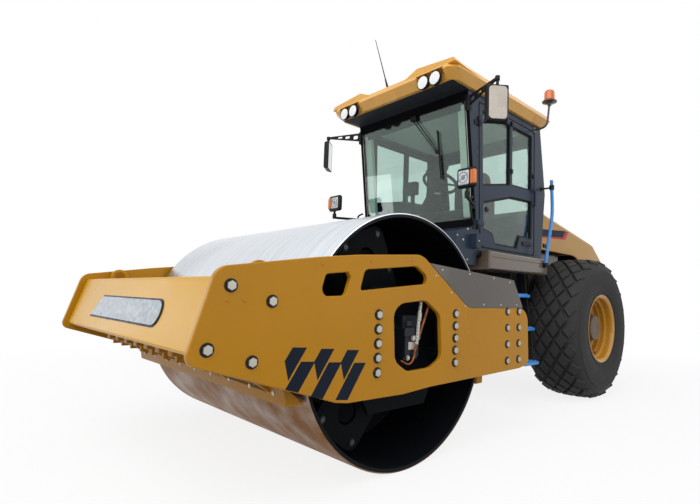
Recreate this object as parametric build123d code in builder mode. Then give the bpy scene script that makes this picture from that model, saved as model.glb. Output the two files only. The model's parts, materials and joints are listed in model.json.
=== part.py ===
from build123d import *

import os
from math import atan2, cos, degrees, hypot, radians, sin

# Single-drum road roller, articulated in the middle.
# Millimetres.  +X runs forward to the drum, +Y to the left, +Z up.
# The origin is on the ground, under the middle of the machine.

# ---- driving dimensions ----------------------------------------------------
DRUM_X, DRUM_R, DRUM_W = 1640, 761.5, 2130
DRUM_Z = DRUM_R
SHELL = 28                       # thickness of the rolled drum shell
HEAD_Y, HEAD_T = 780, 30         # drum head: outer face and plate thickness
SPINDLE_R = 120

AXLE_X, TYRE_R, TYRE_W = -1370, 740, 587
AXLE_Z = TYRE_R
WHEEL_Y = 795                    # middle of a tyre
RIM_SEAT_R, RIM_EDGE_R = 330, 356
BEAD = 258                       # half distance between the tyre beads
STUB_R = 90

PIVOT_X, PIVOT_Z = 130, 750      # articulation: upright pin and roll axis
PIN_R = 60
TRUNNION_R = 85
FIT = 0.05                       # radial clearance of a running fit

PLATE_Y, PLATE_T = 1150, 32      # side plates of the front frame
PLATE_IN = PLATE_Y - PLATE_T

RAIL_Y, RAIL_T = 430, 30         # chassis rails: inner face and thickness
RAIL_LOW, RAIL_TOP = 545, 955
EAR_T = 40                       # ear plates above and below the rails

CAB_Y, WALL = 700, 45            # cab half width and wall thickness
FLOOR_Z = 1430
CAB_TOP = 2800

HOOD_Y, HOOD_T = 600, 8
HOOD_HINGE = (-900, 1965)        # x, z

CYL_BASE = (-450, 330)           # x, y of the steering cylinder's base pin
CYL_EYE = (330, 300)             # x, y of its rod eye
BARREL_R, ROD_R, EYE_R, EYE_H = 45, 28, 48, 90
SIDES = (1, -1)
COARSE = 24                      # sides of a bar that nothing turns on

os.makedirs("parts", exist_ok=True)


def write(part, label):
    part.label = label
    export_step(part, f"parts/{label}.step")


def side_plane(y):
    """Sketch plane facing -Y: sketch x is X and sketch y is Z."""
    return Plane.XZ.offset(-y)


def slab(points, y_low, y_high, radius=0, holes=(), hole_radius=0):
    """Upright plate along X: an outline in (x, z) between two values of y."""
    with BuildPart() as plate:
        with BuildSketch(side_plane(y_high)) as face:
            with BuildLine():
                Polyline(*points, close=True)
            make_face()
            if radius:
                fillet(face.vertices(), radius)
        extrude(amount=y_high - y_low)
        for hole in holes:
            with BuildSketch(side_plane(y_high + 1)) as cut:
                with BuildLine():
                    Polyline(*hole, close=True)
                make_face()
                if hole_radius:
                    fillet(cut.vertices(), hole_radius)
            extrude(amount=y_high - y_low + 2, mode=Mode.SUBTRACT)
    return plate.part


def flat(points, z_low, z_high, radius=0):
    """Level plate: an outline in (x, y) between two heights."""
    with BuildPart() as plate:
        with BuildSketch(Plane.XY.offset(z_low)) as face:
            with BuildLine():
                Polyline(*points, close=True)
            make_face()
            if radius:
                fillet(face.vertices(), radius)
        extrude(amount=z_high - z_low)
    return plate.part


def block(x, y, z):
    """Box from (low, high) pairs along X, Y and Z."""
    corners = ((x[0], z[0]), (x[1], z[0]), (x[1], z[1]), (x[0], z[1]))
    return slab(corners, y[0], y[1])


def bar(plane, u, v, radius, length, sides):
    """Bar raised from a plane: round, or with flat sides."""
    with BuildPart() as solid:
        with BuildSketch(plane):
            with Locations((u, v)):
                if sides:
                    RegularPolygon(radius, sides)
                else:
                    Circle(radius)
        extrude(amount=length)
    return solid.part


def cross_disc(x, z, radius, y_low, y_high, sides=0):
    """Bar along Y."""
    return bar(side_plane(y_high), x, z, radius, y_high - y_low, sides)


def post(x, y, radius, z_low, z_high, sides=0):
    """Bar along Z."""
    return bar(Plane.XY.offset(z_low), x, y, radius, z_high - z_low, sides)


def shaft(y, z, radius, x_low, x_high, sides=0):
    """Bar along X."""
    return bar(Plane.YZ.offset(x_low), y, z, radius, x_high - x_low, sides)


def tube(points, radius, bend=0, sides=8):
    """Bar along a path, straight or with rounded corners."""
    with BuildPart() as swept:
        with BuildLine() as path:
            if bend:
                FilletPolyline(*points, radius=bend)
            else:
                Polyline(*points)
        with BuildSketch(Plane(path.line @ 0, z_dir=path.line % 0)):
            RegularPolygon(radius, sides)
        sweep()
    return swept.part


# ---- front frame -----------------------------------------------------------
PLATE_OUTLINE = (
    (2992, 733), (2880, 1120), (2380, 1198), (2130, 1229), (1630, 1271), (1155, 954),
    (443, 955), (366, 891), (352, 520), (490, 500), (1540, 482), (1770, 468),
    (2170, 475), (2250, 488), (2400, 539),
)
SLOT_FRONT = ((2188, 1124), (2316, 1124), (2332, 1096), (2290, 1014), (2190, 1014))
SLOT_LONG = ((2082, 1154), (1675, 1198), (1585, 1145), (1585, 1097), (2114, 1041))
HUB_WINDOW = (
    (1804, 978), (1588, 999), (1450, 910), (1430, 644), (1533, 595), (1737, 590),
    (1841, 657), (1859, 928),
)
COVER_OUTLINE = ((1563, 1226), (1155, 954), (443, 955), (580, 1163))
COVER_T = 10

left_plate = slab(
    PLATE_OUTLINE, PLATE_IN, PLATE_Y, 12, (SLOT_FRONT, SLOT_LONG, HUB_WINDOW), 18
)
with BuildPart() as side_plates:
    add(left_plate)
    mirror(about=Plane.XZ)
write(side_plates.part, "side_plates")

with BuildPart() as cover_panels:
    add(slab(COVER_OUTLINE, PLATE_Y - COVER_T, PLATE_Y))
    add(left_plate, mode=Mode.SUBTRACT)
    mirror(about=Plane.XZ)
write(cover_panels.part, "cover_panels")

BEAM_FACE = ((2952, 757), (2850, 1085))
BEAM_BACK = ((2570, 1060), (2640, 690))
with BuildPart() as front_beam:
    add(slab(BEAM_FACE + BEAM_BACK, -PLATE_IN, PLATE_IN))
write(front_beam.part, "front_beam")

REAR_BEAM_X, REAR_BEAM_Z = (440, 740), (520, 980)
with BuildPart() as rear_beam:
    add(block(REAR_BEAM_X, (-PLATE_IN, PLATE_IN), REAR_BEAM_Z))
    add(shaft(0, PIVOT_Z, TRUNNION_R + FIT, 430, 750), mode=Mode.SUBTRACT)
write(rear_beam.part, "rear_beam")

# half-round lifting eyes stand on the front beam, just inside the side plates
EYE_PLATE_Y, EYE_PLATE_T = 1080, 25
EYE_X, EYE_Z, EYE_PLATE_R, EYE_HOLE_R = 2650, 1105, 60, 36
with BuildPart() as lifting_eyes:
    with BuildSketch(side_plane(EYE_PLATE_Y)):
        with Locations((EYE_X, EYE_Z)):
            RegularPolygon(EYE_PLATE_R, COARSE)
        with Locations((EYE_X, EYE_Z - EYE_PLATE_R / 2)):
            Rectangle(2 * EYE_PLATE_R, EYE_PLATE_R)
        with Locations((EYE_X, EYE_Z)):
            Circle(EYE_HOLE_R, mode=Mode.SUBTRACT)
    extrude(amount=EYE_PLATE_T)
    add(front_beam.part, mode=Mode.SUBTRACT)
    mirror(about=Plane.XZ)
write(lifting_eyes.part, "lifting_eyes")

# scraper bars: an angle across the drum on five brackets
SCRAPER_W = 2080
SCRAPER_Y = (-900, -450, 450, 900)
UNDER_SLOPE = (BEAM_FACE[0][1] - BEAM_BACK[1][1]) / (BEAM_FACE[0][0] - BEAM_BACK[1][0])


def beam_under(x):
    """Height of the front beam's underside."""
    return BEAM_BACK[1][1] + (x - BEAM_BACK[1][0]) * UNDER_SLOPE


FRONT_BLADE = ((2360, 478), (2462, 478), (2476, 562), (2464, 562), (2450, 492), (2360, 492))
FRONT_BRACKET = (
    (2456, 500), (2470, 526), (2740, beam_under(2740)), (2660, beam_under(2660)), (2468, 556),
)
REAR_BLADE = ((920, 478), (830, 478), (815, 562), (827, 562), (842, 492), (920, 492))
REAR_BRACKET = ((830, 512), (740, 600), (740, 680), (822, 558))
for label, blade, bracket in (
    ("scraper_front", FRONT_BLADE, FRONT_BRACKET),
    ("scraper_rear", REAR_BLADE, REAR_BRACKET),
):
    with BuildPart() as scraper:
        add(slab(blade, -SCRAPER_W / 2, SCRAPER_W / 2))
        for y in SCRAPER_Y:
            add(slab(bracket, y - 10, y + 10))
    write(scraper.part, label)

# drum mounts: ring plate inside each side plate, rubber buffers, inner plate and spindle
RING_X, RING_Z, RING_T = (1225, 2055), (540, 1035), 30
RING_WINDOW = (
    (1812, 990), (1580, 1010), (1436, 916), (1416, 640), (1528, 580), (1742, 576),
    (1855, 650), (1874, 934),
)
RING_IN = PLATE_IN - RING_T
BUFFER_IN, BUFFER_R = 985, 62
INNER_T = 25
BUFFERS = ((1320, 650), (1320, 880), (1960, 650), (1960, 880))
INNER_OUTLINE = (
    (DRUM_X - 400, 640), (DRUM_X - 240, 340), (DRUM_X + 240, 340), (DRUM_X + 400, 640),
    (DRUM_X + 400, 940), (DRUM_X + 240, 1080), (DRUM_X - 240, 1080), (DRUM_X - 400, 940),
)
ring_corners = (
    (RING_X[0], RING_Z[0]), (RING_X[1], RING_Z[0]), (RING_X[1], RING_Z[1]), (RING_X[0], RING_Z[1]),
)
INNER_PLATE_Y = BUFFER_IN - INNER_T
with BuildPart() as drum_mounts:
    add(slab(ring_corners, RING_IN, PLATE_IN, 0, (RING_WINDOW,)))
    for x, z in BUFFERS:
        add(cross_disc(x, z, BUFFER_R, BUFFER_IN, RING_IN, COARSE))
    add(slab(INNER_OUTLINE, INNER_PLATE_Y, BUFFER_IN))
    add(cross_disc(DRUM_X, DRUM_Z, SPINDLE_R, HEAD_Y - HEAD_T - 20, INNER_PLATE_Y))
    mirror(about=Plane.XZ)
write(drum_mounts.part, "drum_mounts")

MOTOR_X, MOTOR_Z = (1580, 1700), (660, 830)
MOTOR_OUT = BUFFER_IN + 105
with BuildPart() as drum_motors:
    add(block(MOTOR_X, (BUFFER_IN, MOTOR_OUT), MOTOR_Z))
    add(block((1560, 1690), (BUFFER_IN, BUFFER_IN + 70), (MOTOR_Z[1], 905)))
    mirror(about=Plane.XZ)
write(drum_motors.part, "drum_motors")

# hoses from the left motor, up and back inside the side plate
HOSE_Y, HOSE_R = 1104, 13
HOSES = (        # x of the fitting, x at the top, height at the top
    (1600, 1500, 960), (1640, 1560, 985),
)
with BuildPart() as drum_hoses:
    for x, x_top, z_top in HOSES:
        low = (x, HOSE_Y, MOTOR_Z[1] - 40)
        add(tube((low, (x, HOSE_Y, MOTOR_Z[1] + 90), (x_top, HOSE_Y, z_top)), HOSE_R, 60))
        add(block((x - 18, x + 18), (MOTOR_OUT, HOSE_Y + 6), (MOTOR_Z[1] - 60, MOTOR_Z[1] - 36)))
    add(drum_mounts.part, mode=Mode.SUBTRACT)
write(drum_hoses.part, "drum_hoses")

# ---- drum ------------------------------------------------------------------
HEAD_IN = HEAD_Y - HEAD_T
BOSS_R, BOSS_OUT, BOSS_IN = SPINDLE_R + 60, 60, 40      # boss around the spindle bore
with BuildPart() as drum:
    add(cross_disc(DRUM_X, DRUM_Z, DRUM_R, -DRUM_W / 2, DRUM_W / 2))
    cavity = cross_disc(DRUM_X, DRUM_Z, DRUM_R - SHELL, -HEAD_IN, HEAD_IN, 2 * COARSE)
    add(cavity, mode=Mode.SUBTRACT)
    for side in SIDES:
        recess = sorted((side * HEAD_Y, side * DRUM_W))
        boss = sorted((side * (HEAD_Y + BOSS_OUT), side * (HEAD_IN - BOSS_IN)))
        add(cross_disc(DRUM_X, DRUM_Z, DRUM_R - SHELL, *recess), mode=Mode.SUBTRACT)
        add(cross_disc(DRUM_X, DRUM_Z, BOSS_R, *boss, 2 * COARSE))
    add(cross_disc(DRUM_X, DRUM_Z, SPINDLE_R + FIT, -HEAD_Y - 80, HEAD_Y + 80), mode=Mode.SUBTRACT)
write(drum.part, "drum")

# ---- yoke: upright hinge hub and fore-and-aft trunnion ----------------------
HUB_R, HUB_Z = 130, (565, 935)
ARM_X, ARM_Y = (265, 395), 360
ARM_GAP, ARM_T = 102, 20
arm_plan = ((ARM_X[0], -ARM_Y), (ARM_X[1], -ARM_Y), (ARM_X[1], ARM_Y), (ARM_X[0], ARM_Y))
with BuildPart() as yoke:
    add(post(PIVOT_X, 0, HUB_R, *HUB_Z, COARSE))
    add(shaft(0, PIVOT_Z, TRUNNION_R, PIVOT_X, 790))
    add(shaft(0, PIVOT_Z, 150, 250, 434, COARSE))
    add(shaft(0, PIVOT_Z, 120, 745, 785, COARSE))
    for z in (PIVOT_Z + ARM_GAP / 2, PIVOT_Z - ARM_GAP / 2 - ARM_T):
        add(flat(arm_plan, z, z + ARM_T))
    add(block(ARM_X, (-200, 200), (PIVOT_Z - ARM_GAP / 2, PIVOT_Z + ARM_GAP / 2)))
    add(post(PIVOT_X, 0, PIN_R + FIT, HUB_Z[0] - 5, HUB_Z[1] + 5), mode=Mode.SUBTRACT)
write(yoke.part, "yoke")

# ---- steering cylinders ----------------------------------------------------
SPAN = hypot(CYL_EYE[0] - CYL_BASE[0], CYL_EYE[1] - CYL_BASE[1])
LEAN = degrees(atan2(CYL_EYE[1] - CYL_BASE[1], CYL_EYE[0] - CYL_BASE[0]))
BARREL_END, ROD_LENGTH = 500, 516
BASE_PIN_R = 25
for side, name in ((1, "left"), (-1, "right")):
    base = Location((CYL_BASE[0], side * CYL_BASE[1], PIVOT_Z), (0, 0, side * LEAN))
    with BuildPart() as barrel:
        add(shaft(0, 0, BARREL_R, 20, BARREL_END, COARSE))
        add(post(0, 0, EYE_R, -EYE_H / 2, EYE_H / 2, COARSE))
        add(shaft(0, 0, ROD_R + 1, 80, BARREL_END + 5), mode=Mode.SUBTRACT)
        add(post(0, 0, BASE_PIN_R + FIT, -EYE_H, EYE_H), mode=Mode.SUBTRACT)
    write(barrel.part.moved(base), f"steer_barrel_{name}")
    with BuildPart() as rod:
        add(shaft(0, 0, ROD_R, SPAN - ROD_LENGTH, SPAN))
        add(post(SPAN, 0, EYE_R, -EYE_H / 2, EYE_H / 2, COARSE))
        add(post(SPAN, 0, BASE_PIN_R, -EYE_H, EYE_H), mode=Mode.SUBTRACT)
    write(rod.part.moved(base), f"steer_rod_{name}")

# ---- chassis ---------------------------------------------------------------
RAIL_X = (-2700, -60)
EAR_PLAN = ((-700, -460), (-100, -460), (245, -140), (245, 140), (-100, 460), (-700, 460))
BRACKET_X = (-530, -390)
AXLE_HOLE_R = 112
with BuildPart() as chassis:
    for side in SIDES:
        rail = sorted((side * RAIL_Y, side * (RAIL_Y + RAIL_T)))
        add(block(RAIL_X, rail, (RAIL_LOW, RAIL_TOP)))
        bracket = sorted((side * 250, side * 400))
        for z in (PIVOT_Z + ARM_GAP / 2, PIVOT_Z - ARM_GAP / 2 - ARM_T):
            add(block(BRACKET_X, bracket, (z, z + ARM_T)))
        pin_z = PIVOT_Z + ARM_GAP / 2 + ARM_T
        add(post(CYL_BASE[0], side * CYL_BASE[1], BASE_PIN_R, 2 * PIVOT_Z - pin_z, pin_z))
    for z in (RAIL_LOW - EAR_T, RAIL_TOP):
        add(flat(EAR_PLAN, z, z + EAR_T))
    add(post(PIVOT_X, 0, PIN_R, RAIL_LOW - EAR_T, RAIL_TOP + EAR_T))
    for x in (-560, -1000, -1900, -2600):
        add(block((x, x + 30), (-RAIL_Y, RAIL_Y), (RAIL_LOW, 690 if x < -1000 else RAIL_TOP)))
    add(cross_disc(AXLE_X, AXLE_Z, AXLE_HOLE_R, -RAIL_Y - 50, RAIL_Y + 50), mode=Mode.SUBTRACT)
write(chassis.part, "chassis")

with BuildPart() as rear_axle:
    add(cross_disc(AXLE_X, AXLE_Z, 110, -620, 620, COARSE))
    for half_width, radius in ((130, 215), (200, 165)):
        add(cross_disc(AXLE_X, AXLE_Z, radius, -half_width, half_width, COARSE))
    for side in SIDES:
        add(cross_disc(AXLE_X, AXLE_Z, 170, *sorted((side * 460, side * 480)), COARSE))
        add(cross_disc(AXLE_X, AXLE_Z, 165, *sorted((side * 480, side * 640)), COARSE))
        add(cross_disc(AXLE_X, AXLE_Z, STUB_R, *sorted((side * 600, side * 820))))
write(rear_axle.part, "rear_axle")

with BuildPart() as counterweight:
    add(block((-2920, -2700), (-600, 600), (450, 990)))
    chamfer(counterweight.edges().filter_by(Axis.Y).group_by(Axis.X)[0], 40)
write(counterweight.part, "counterweight")

HITCH_X, HITCH_HOLE_R = -2958, 18
with BuildPart() as tow_hitch:
    for z in (560, 640):
        add(block((-2989, -2920), (-60, 60), (z, z + 25)))
    add(block((-2932, -2920), (-90, 90), (540, 685)))
    add(post(HITCH_X, 0, HITCH_HOLE_R, 500, 700), mode=Mode.SUBTRACT)
write(tow_hitch.part, "tow_hitch")

with BuildPart() as engine_block:
    add(block((-2560, -1640), (-330, 330), (690, 1460)))
write(engine_block.part, "engine_block")

# ---- rear wheels -----------------------------------------------------------
WHEEL_SIDES = 34                 # flats around a tyre and its rim
CARCASS = ((RIM_EDGE_R, BEAD), (590, TYRE_W / 2), (704, 218))      # radius, offset
RIM_OUTER = ((318, BEAD + 12), (318, 190), (286, 180), (286, 90), (262, 75), (262, 20))
RIM_INNER = ((262, -10), (262, -200), (318, -210), (318, -BEAD - 12))
RIM_LIP = 12

# diamond lugs: five staggered rows, their pointed ends on the tyre's outer radius
LUG_COUNT, LUG_BASE_R, LUG_TAPER = 17, 680, 12
LUG_HALF = (72, 112)             # half width across the tyre, half length around it, at the base
LUG_TIP = 91                     # half length around the tyre at the top
LUG_ROWS = ((0, 0), (84, 4), (168, 15))      # distance from the middle, drop of the top
LUG_TOP_R = (TYRE_R**2 - LUG_TIP**2) ** 0.5
LUG_PITCH = 360 / LUG_COUNT
FIRST_LUG = degrees(atan2(LUG_TIP, LUG_TOP_R))           # puts a lug's end at the ground


def faceted(*sections):
    """Turned form with flats around the left wheel's axis, from (radius, outward offset) sections."""
    with BuildPart() as ring:
        for radius, offset in sections:
            with BuildSketch(side_plane(WHEEL_Y + offset)):
                with Locations((AXLE_X, AXLE_Z)):
                    RegularPolygon(radius, WHEEL_SIDES, rotation=FIRST_LUG)
        loft(ruled=True)
    return ring.part


def lug_plane(lug_y, turn):
    """Plane across a spoke of the wheel, this many degrees from straight down."""
    spoke = Vector(sin(radians(turn)), 0, -cos(radians(turn)))
    origin = Vector(AXLE_X, lug_y, AXLE_Z) + spoke * LUG_BASE_R
    return Plane(origin=origin, x_dir=(0, 1, 0), z_dir=spoke)


HUB_CAP_R, HUB_FLANGE_R = 135, 160
with BuildPart() as tyre:
    inboard = tuple((radius, -offset) for radius, offset in CARCASS)
    add(faceted(*inboard, *CARCASS[::-1]))
    for row, (distance, drop) in enumerate(LUG_ROWS):
        turns = [FIRST_LUG + (row % 2 / 2 + step) * LUG_PITCH for step in range(LUG_COUNT)]
        for lug_y in sorted({WHEEL_Y - distance, WHEEL_Y + distance}):
            with BuildSketch(*(lug_plane(lug_y, turn) for turn in turns)):
                Polygon(
                    (-LUG_HALF[0], 0), (0, -LUG_HALF[1]), (LUG_HALF[0], 0), (0, LUG_HALF[1]),
                    align=None,
                )
            extrude(amount=LUG_TOP_R - drop - LUG_BASE_R, taper=LUG_TAPER)
    add(faceted((RIM_SEAT_R, -BEAD), (RIM_SEAT_R, BEAD)), mode=Mode.SUBTRACT)

with BuildPart() as rim:
    add(faceted((RIM_SEAT_R, -BEAD), (RIM_SEAT_R, BEAD)))
    for edge in (-BEAD - RIM_LIP, BEAD):
        add(faceted((RIM_EDGE_R, edge), (RIM_EDGE_R, edge + RIM_LIP)))
    for cavity in (RIM_OUTER, RIM_INNER):
        add(faceted(*cavity), mode=Mode.SUBTRACT)
    add(cross_disc(AXLE_X, AXLE_Z, STUB_R + FIT, WHEEL_Y - 20, WHEEL_Y + 30), mode=Mode.SUBTRACT)

with BuildPart() as hub_cap:
    add(cross_disc(AXLE_X, AXLE_Z, HUB_CAP_R, 830, 905, 2 * COARSE))
    add(cross_disc(AXLE_X, AXLE_Z, HUB_FLANGE_R, 815, 830, 2 * COARSE))
    add(cross_disc(AXLE_X, AXLE_Z, STUB_R + 5, 800, 826), mode=Mode.SUBTRACT)

for piece, label in ((tyre, "tyre"), (rim, "rim"), (hub_cap, "hub_cap")):
    write(piece.part, f"{label}_left")
    write(mirror(piece.part, about=Plane.XZ), f"{label}_right")

# ---- deck, ladders and rails -----------------------------------------------
with BuildPart() as deck:
    add(block((-820, 430), (-CAB_Y, CAB_Y), (FLOOR_Z - 50, FLOOR_Z)))
    add(block((-760, -140), (-420, 420), (RAIL_TOP + EAR_T, FLOOR_Z - 50)))
write(deck.part, "deck")

STEP_BOX_X, STEP_BOX_Z, STEP_BOX_ROUND = (-680, 360), (1270, FLOOR_Z), 22
with BuildPart() as step_boxes:
    add(block(STEP_BOX_X, (CAB_Y - 140, CAB_Y + 95), (STEP_BOX_Z[0], FLOOR_Z - 50)))
    add(block(STEP_BOX_X, (CAB_Y, CAB_Y + 95), (FLOOR_Z - 50, FLOOR_Z)))
    outer = step_boxes.faces().sort_by(Axis.Y)[-1]
    fillet(outer.edges(), STEP_BOX_ROUND)
    mirror(about=Plane.XZ)
write(step_boxes.part, "step_boxes")

LADDER_X, BAR_T = (-400, -150), 12
STEPS = ((755, 1055), (805, 745), (850, 435))      # outer edge in y, height
STEP_DEPTH, STEP_T = 170, 30
BAR_OUTLINE = ((600, STEP_BOX_Z[0]), (690, STEP_BOX_Z[0]), (800, 410), (710, 410))     # y, z
with BuildPart() as ladder_frames:
    for x in (LADDER_X[0] - BAR_T, LADDER_X[1]):
        with BuildSketch(Plane.YZ.offset(x)):
            with BuildLine():
                Polyline(*BAR_OUTLINE, close=True)
            make_face()
        extrude(amount=BAR_T)
    mirror(about=Plane.XZ)
write(ladder_frames.part, "ladder_frames")
with BuildPart() as ladder_steps:
    for y, z in STEPS:
        add(block(LADDER_X, (y - STEP_DEPTH, y), (z - STEP_T / 2, z + STEP_T / 2)))
    mirror(about=Plane.XZ)
write(ladder_steps.part, "ladder_steps")


def cab_front(z):
    """Front edge of the cab's lower panel."""
    return 430 + (z - FLOOR_Z) / 16


CONSOLE_OUTLINE = ((430, 1300), (720, 1300), (720, 1560), (cab_front(1640), 1640), (430, FLOOR_Z))
with BuildPart() as front_console:
    add(slab(CONSOLE_OUTLINE, -CAB_Y, CAB_Y))
    for side in SIDES:
        add(block((446, 515), sorted((side * CAB_Y, side * (CAB_Y + 60))), (1440, 1560)))
write(front_console.part, "front_console")

RAIL_TUBE_R = 17
HANDRAIL_Y = 815
HANDRAIL_PATH = (
    (-590, HANDRAIL_Y, 1345), (-612, HANDRAIL_Y, 1480), (-736, HANDRAIL_Y, 1890),
    (-712, HANDRAIL_Y, 2245),
)
with BuildPart() as handrails:
    add(tube(HANDRAIL_PATH, RAIL_TUBE_R, 150))
    add(block((-610, -580), (CAB_Y + 95, HANDRAIL_Y), (1360, 1372)))
    add(block((-722, -700), (CAB_Y, HANDRAIL_Y), (2160, 2180)))
    mirror(about=Plane.XZ)
write(handrails.part, "handrails")

# ---- cab -------------------------------------------------------------------
CAB_IN = CAB_Y - WALL
CAB_SIDE = ((430, FLOOR_Z), (450, 1750), (585, CAB_TOP), (-683, CAB_TOP), (-796, 2127), (-710, FLOOR_Z))
DOOR_HOLE = ((-570, FLOOR_Z + 30), (380, FLOOR_Z + 30), (400, 1750), (430, 2740), (-570, 2740))
GAP = 6
DOOR_OUTLINE = (
    (-570 + GAP, FLOOR_Z + 30 + GAP), (380 - GAP, FLOOR_Z + 30 + GAP), (400 - GAP, 1750),
    (430 - GAP, 2740 - GAP), (-570 + GAP, 2740 - GAP),
)
MULLION_X = (-140, -100)
WINDOW_FRONT = ((MULLION_X[1], 2090), (345, 2000), (365, 2680), (MULLION_X[1], 2680))
WINDOW_REAR = ((-515, 2110), (MULLION_X[0], 2095), (MULLION_X[0], 2680), (-515, 2680))
WINDOW_LOW = (
    (-515, 2010), (-120, 1990), (335, 1870), (330, 1620), (180, 1590), (130, 1500), (-235, 1500),
    (-290, 1620), (-515, 1620),
)
WINDOWS = (WINDOW_FRONT, WINDOW_REAR, WINDOW_LOW)
GLASS_T = 6
GLASS_Y = CAB_Y - 20

SCREEN_Z = (1700, 2710)
SCREEN_X = (cab_front(SCREEN_Z[0]), 572)
SCREEN_T = 8
with BuildPart() as cab_frame:
    add(slab(CAB_SIDE, CAB_IN, CAB_Y, 0, (DOOR_HOLE,)))
    mirror(about=Plane.XZ)
    add(block((-700, 430), (-CAB_IN, CAB_IN), (FLOOR_Z, FLOOR_Z + 30)))
    add(slab(((-683, CAB_TOP), (585, CAB_TOP), (573, 2710), (-690, 2710)), -CAB_IN, CAB_IN))
    add(
        slab(((-500, CAB_TOP + 1), (460, CAB_TOP + 1), (460, 2709), (-500, 2709)), -560, 560),
        mode=Mode.SUBTRACT,
    )
    add(
        slab(
            ((400, FLOOR_Z), (430, FLOOR_Z), (SCREEN_X[0], SCREEN_Z[0]), (SCREEN_X[0] - 30, SCREEN_Z[0])),
            -CAB_IN,
            CAB_IN,
        )
    )
    add(slab(((-683, CAB_TOP), (-796, 2127), (-756, 2127), (-643, CAB_TOP)), -CAB_IN, CAB_IN))
    add(slab(((-796, 2127), (-710, FLOOR_Z), (-670, FLOOR_Z), (-756, 2127)), -CAB_IN, CAB_IN))
    add(block((-900, -600), (-560, 560), (1800, 2640)), mode=Mode.SUBTRACT)
write(cab_frame.part, "cab_frame")

cab_block = slab(CAB_SIDE, -CAB_Y, CAB_Y)

with BuildPart() as windshield:
    edge = ((SCREEN_X[0], SCREEN_Z[0]), (SCREEN_X[1], SCREEN_Z[1]))
    back = ((SCREEN_X[1] - SCREEN_T, SCREEN_Z[1]), (SCREEN_X[0] - SCREEN_T, SCREEN_Z[0]))
    add(slab(edge + back, -CAB_IN, CAB_IN))
write(windshield.part, "windshield")

with BuildPart() as rear_glass:
    add(slab(((-746, 1800), (-784, 2127), (-778, 2127), (-740, 1800)), -560, 560))
    add(slab(((-784, 2127), (-698, 2640), (-692, 2640), (-778, 2127)), -560, 560))
write(rear_glass.part, "rear_glass")

# doors: hung in front on two stacked knuckles, handle at the back
HINGE_X, HINGE_Y, KNUCKLE_R = 428, 714, 12
HINGE_Z, KNUCKLE_H, KNUCKLE_GAP = (1650, 2560), 40, 2
HANDLE = ((-552, -530), (CAB_Y + 22, CAB_Y + 34), (1960, 2120))
for side, name in ((1, "left"), (-1, "right")):
    skin = sorted((side * CAB_IN, side * CAB_Y))
    with BuildPart() as door:
        add(slab(DOOR_OUTLINE, *skin, 0, WINDOWS))
        for z in HINGE_Z:
            strap = sorted((side * CAB_Y, side * (CAB_Y + 8)))
            add(block((330, HINGE_X), strap, (z, z + KNUCKLE_H)))
            add(post(HINGE_X, side * HINGE_Y, KNUCKLE_R, z, z + KNUCKLE_H))
        add(block(HANDLE[0], sorted(side * y for y in HANDLE[1]), HANDLE[2]))
        for z in HANDLE[2]:
            foot = (z, z + 14) if z == HANDLE[2][0] else (z - 14, z)
            add(block(HANDLE[0], sorted((side * CAB_Y, side * HANDLE[1][0])), foot))
    write(door.part, f"door_{name}")
    with BuildPart() as panes:
        faces = sorted((side * GLASS_Y, side * (GLASS_Y - GLASS_T)))
        for window in WINDOWS:
            add(slab(window, *faces))
    write(panes.part, f"door_glass_{name}")

with BuildPart() as door_hinges:
    for z in HINGE_Z:
        low = z - KNUCKLE_GAP - KNUCKLE_H
        add(post(HINGE_X, HINGE_Y, KNUCKLE_R, low, low + KNUCKLE_H))
        add(block((HINGE_X, 490), (CAB_Y, CAB_Y + 8), (low, low + KNUCKLE_H)))
    mirror(about=Plane.XZ)
write(door_hinges.part, "door_hinges")

# roof: four plan sections, pods over the lamps and a pocket cut under each pod
ROOF_X, ROOF_Y, ROOF_CORNER = (-795, 895), 790, 70
ROOF_SECTIONS = ((CAB_TOP, 60), (2868, 0), (2924, 26), (3000, 320))      # height, inset
POD = ((210, 2905), (370, 2969), (765, 2938), (786, 2905))               # y, z across the pod
POD_X = (500, 878)
LAMP_R, LAMP_Y, LAMP_Z = 62, (453, 584), 2815
POCKET_Y, POCKET_X, POCKET_TOP = (372, 664), 812, 2893
with BuildPart() as roof:
    for z, inset in ROOF_SECTIONS:
        with BuildSketch(Plane.XY.offset(z)) as plan:
            with Locations((sum(ROOF_X) / 2, 0)):
                Rectangle(ROOF_X[1] - ROOF_X[0] - 2 * inset, 2 * (ROOF_Y - inset))
            chamfer(plan.vertices(), ROOF_CORNER)
    loft(ruled=True)
    with BuildPart(mode=Mode.PRIVATE) as pod:
        for x, sink in ((POD_X[1], 0), (POD_X[0], 30)):
            with BuildSketch(Plane.YZ.offset(x)):
                with BuildLine():
                    Polyline(*((y, z - sink) for y, z in POD), close=True)
                make_face()
        loft(ruled=True)
    add(pod.part)
    add(mirror(pod.part, about=Plane.XZ, mode=Mode.PRIVATE))
    for side in SIDES:
        pocket = sorted((side * POCKET_Y[0], side * POCKET_Y[1]))
        add(block((POCKET_X, 1000), pocket, (CAB_TOP - 1, POCKET_TOP)), mode=Mode.SUBTRACT)
write(roof.part, "roof")

with BuildPart() as roof_lamps:
    for y in LAMP_Y:
        add(shaft(y, LAMP_Z, LAMP_R, POCKET_X + 30, POCKET_X + 88, COARSE))
        add(block((POCKET_X + 34, POCKET_X + 50), (y - 14, y + 14), (LAMP_Z, POCKET_TOP)))
    mirror(about=Plane.XZ)
write(roof_lamps.part, "roof_lamps")

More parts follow.
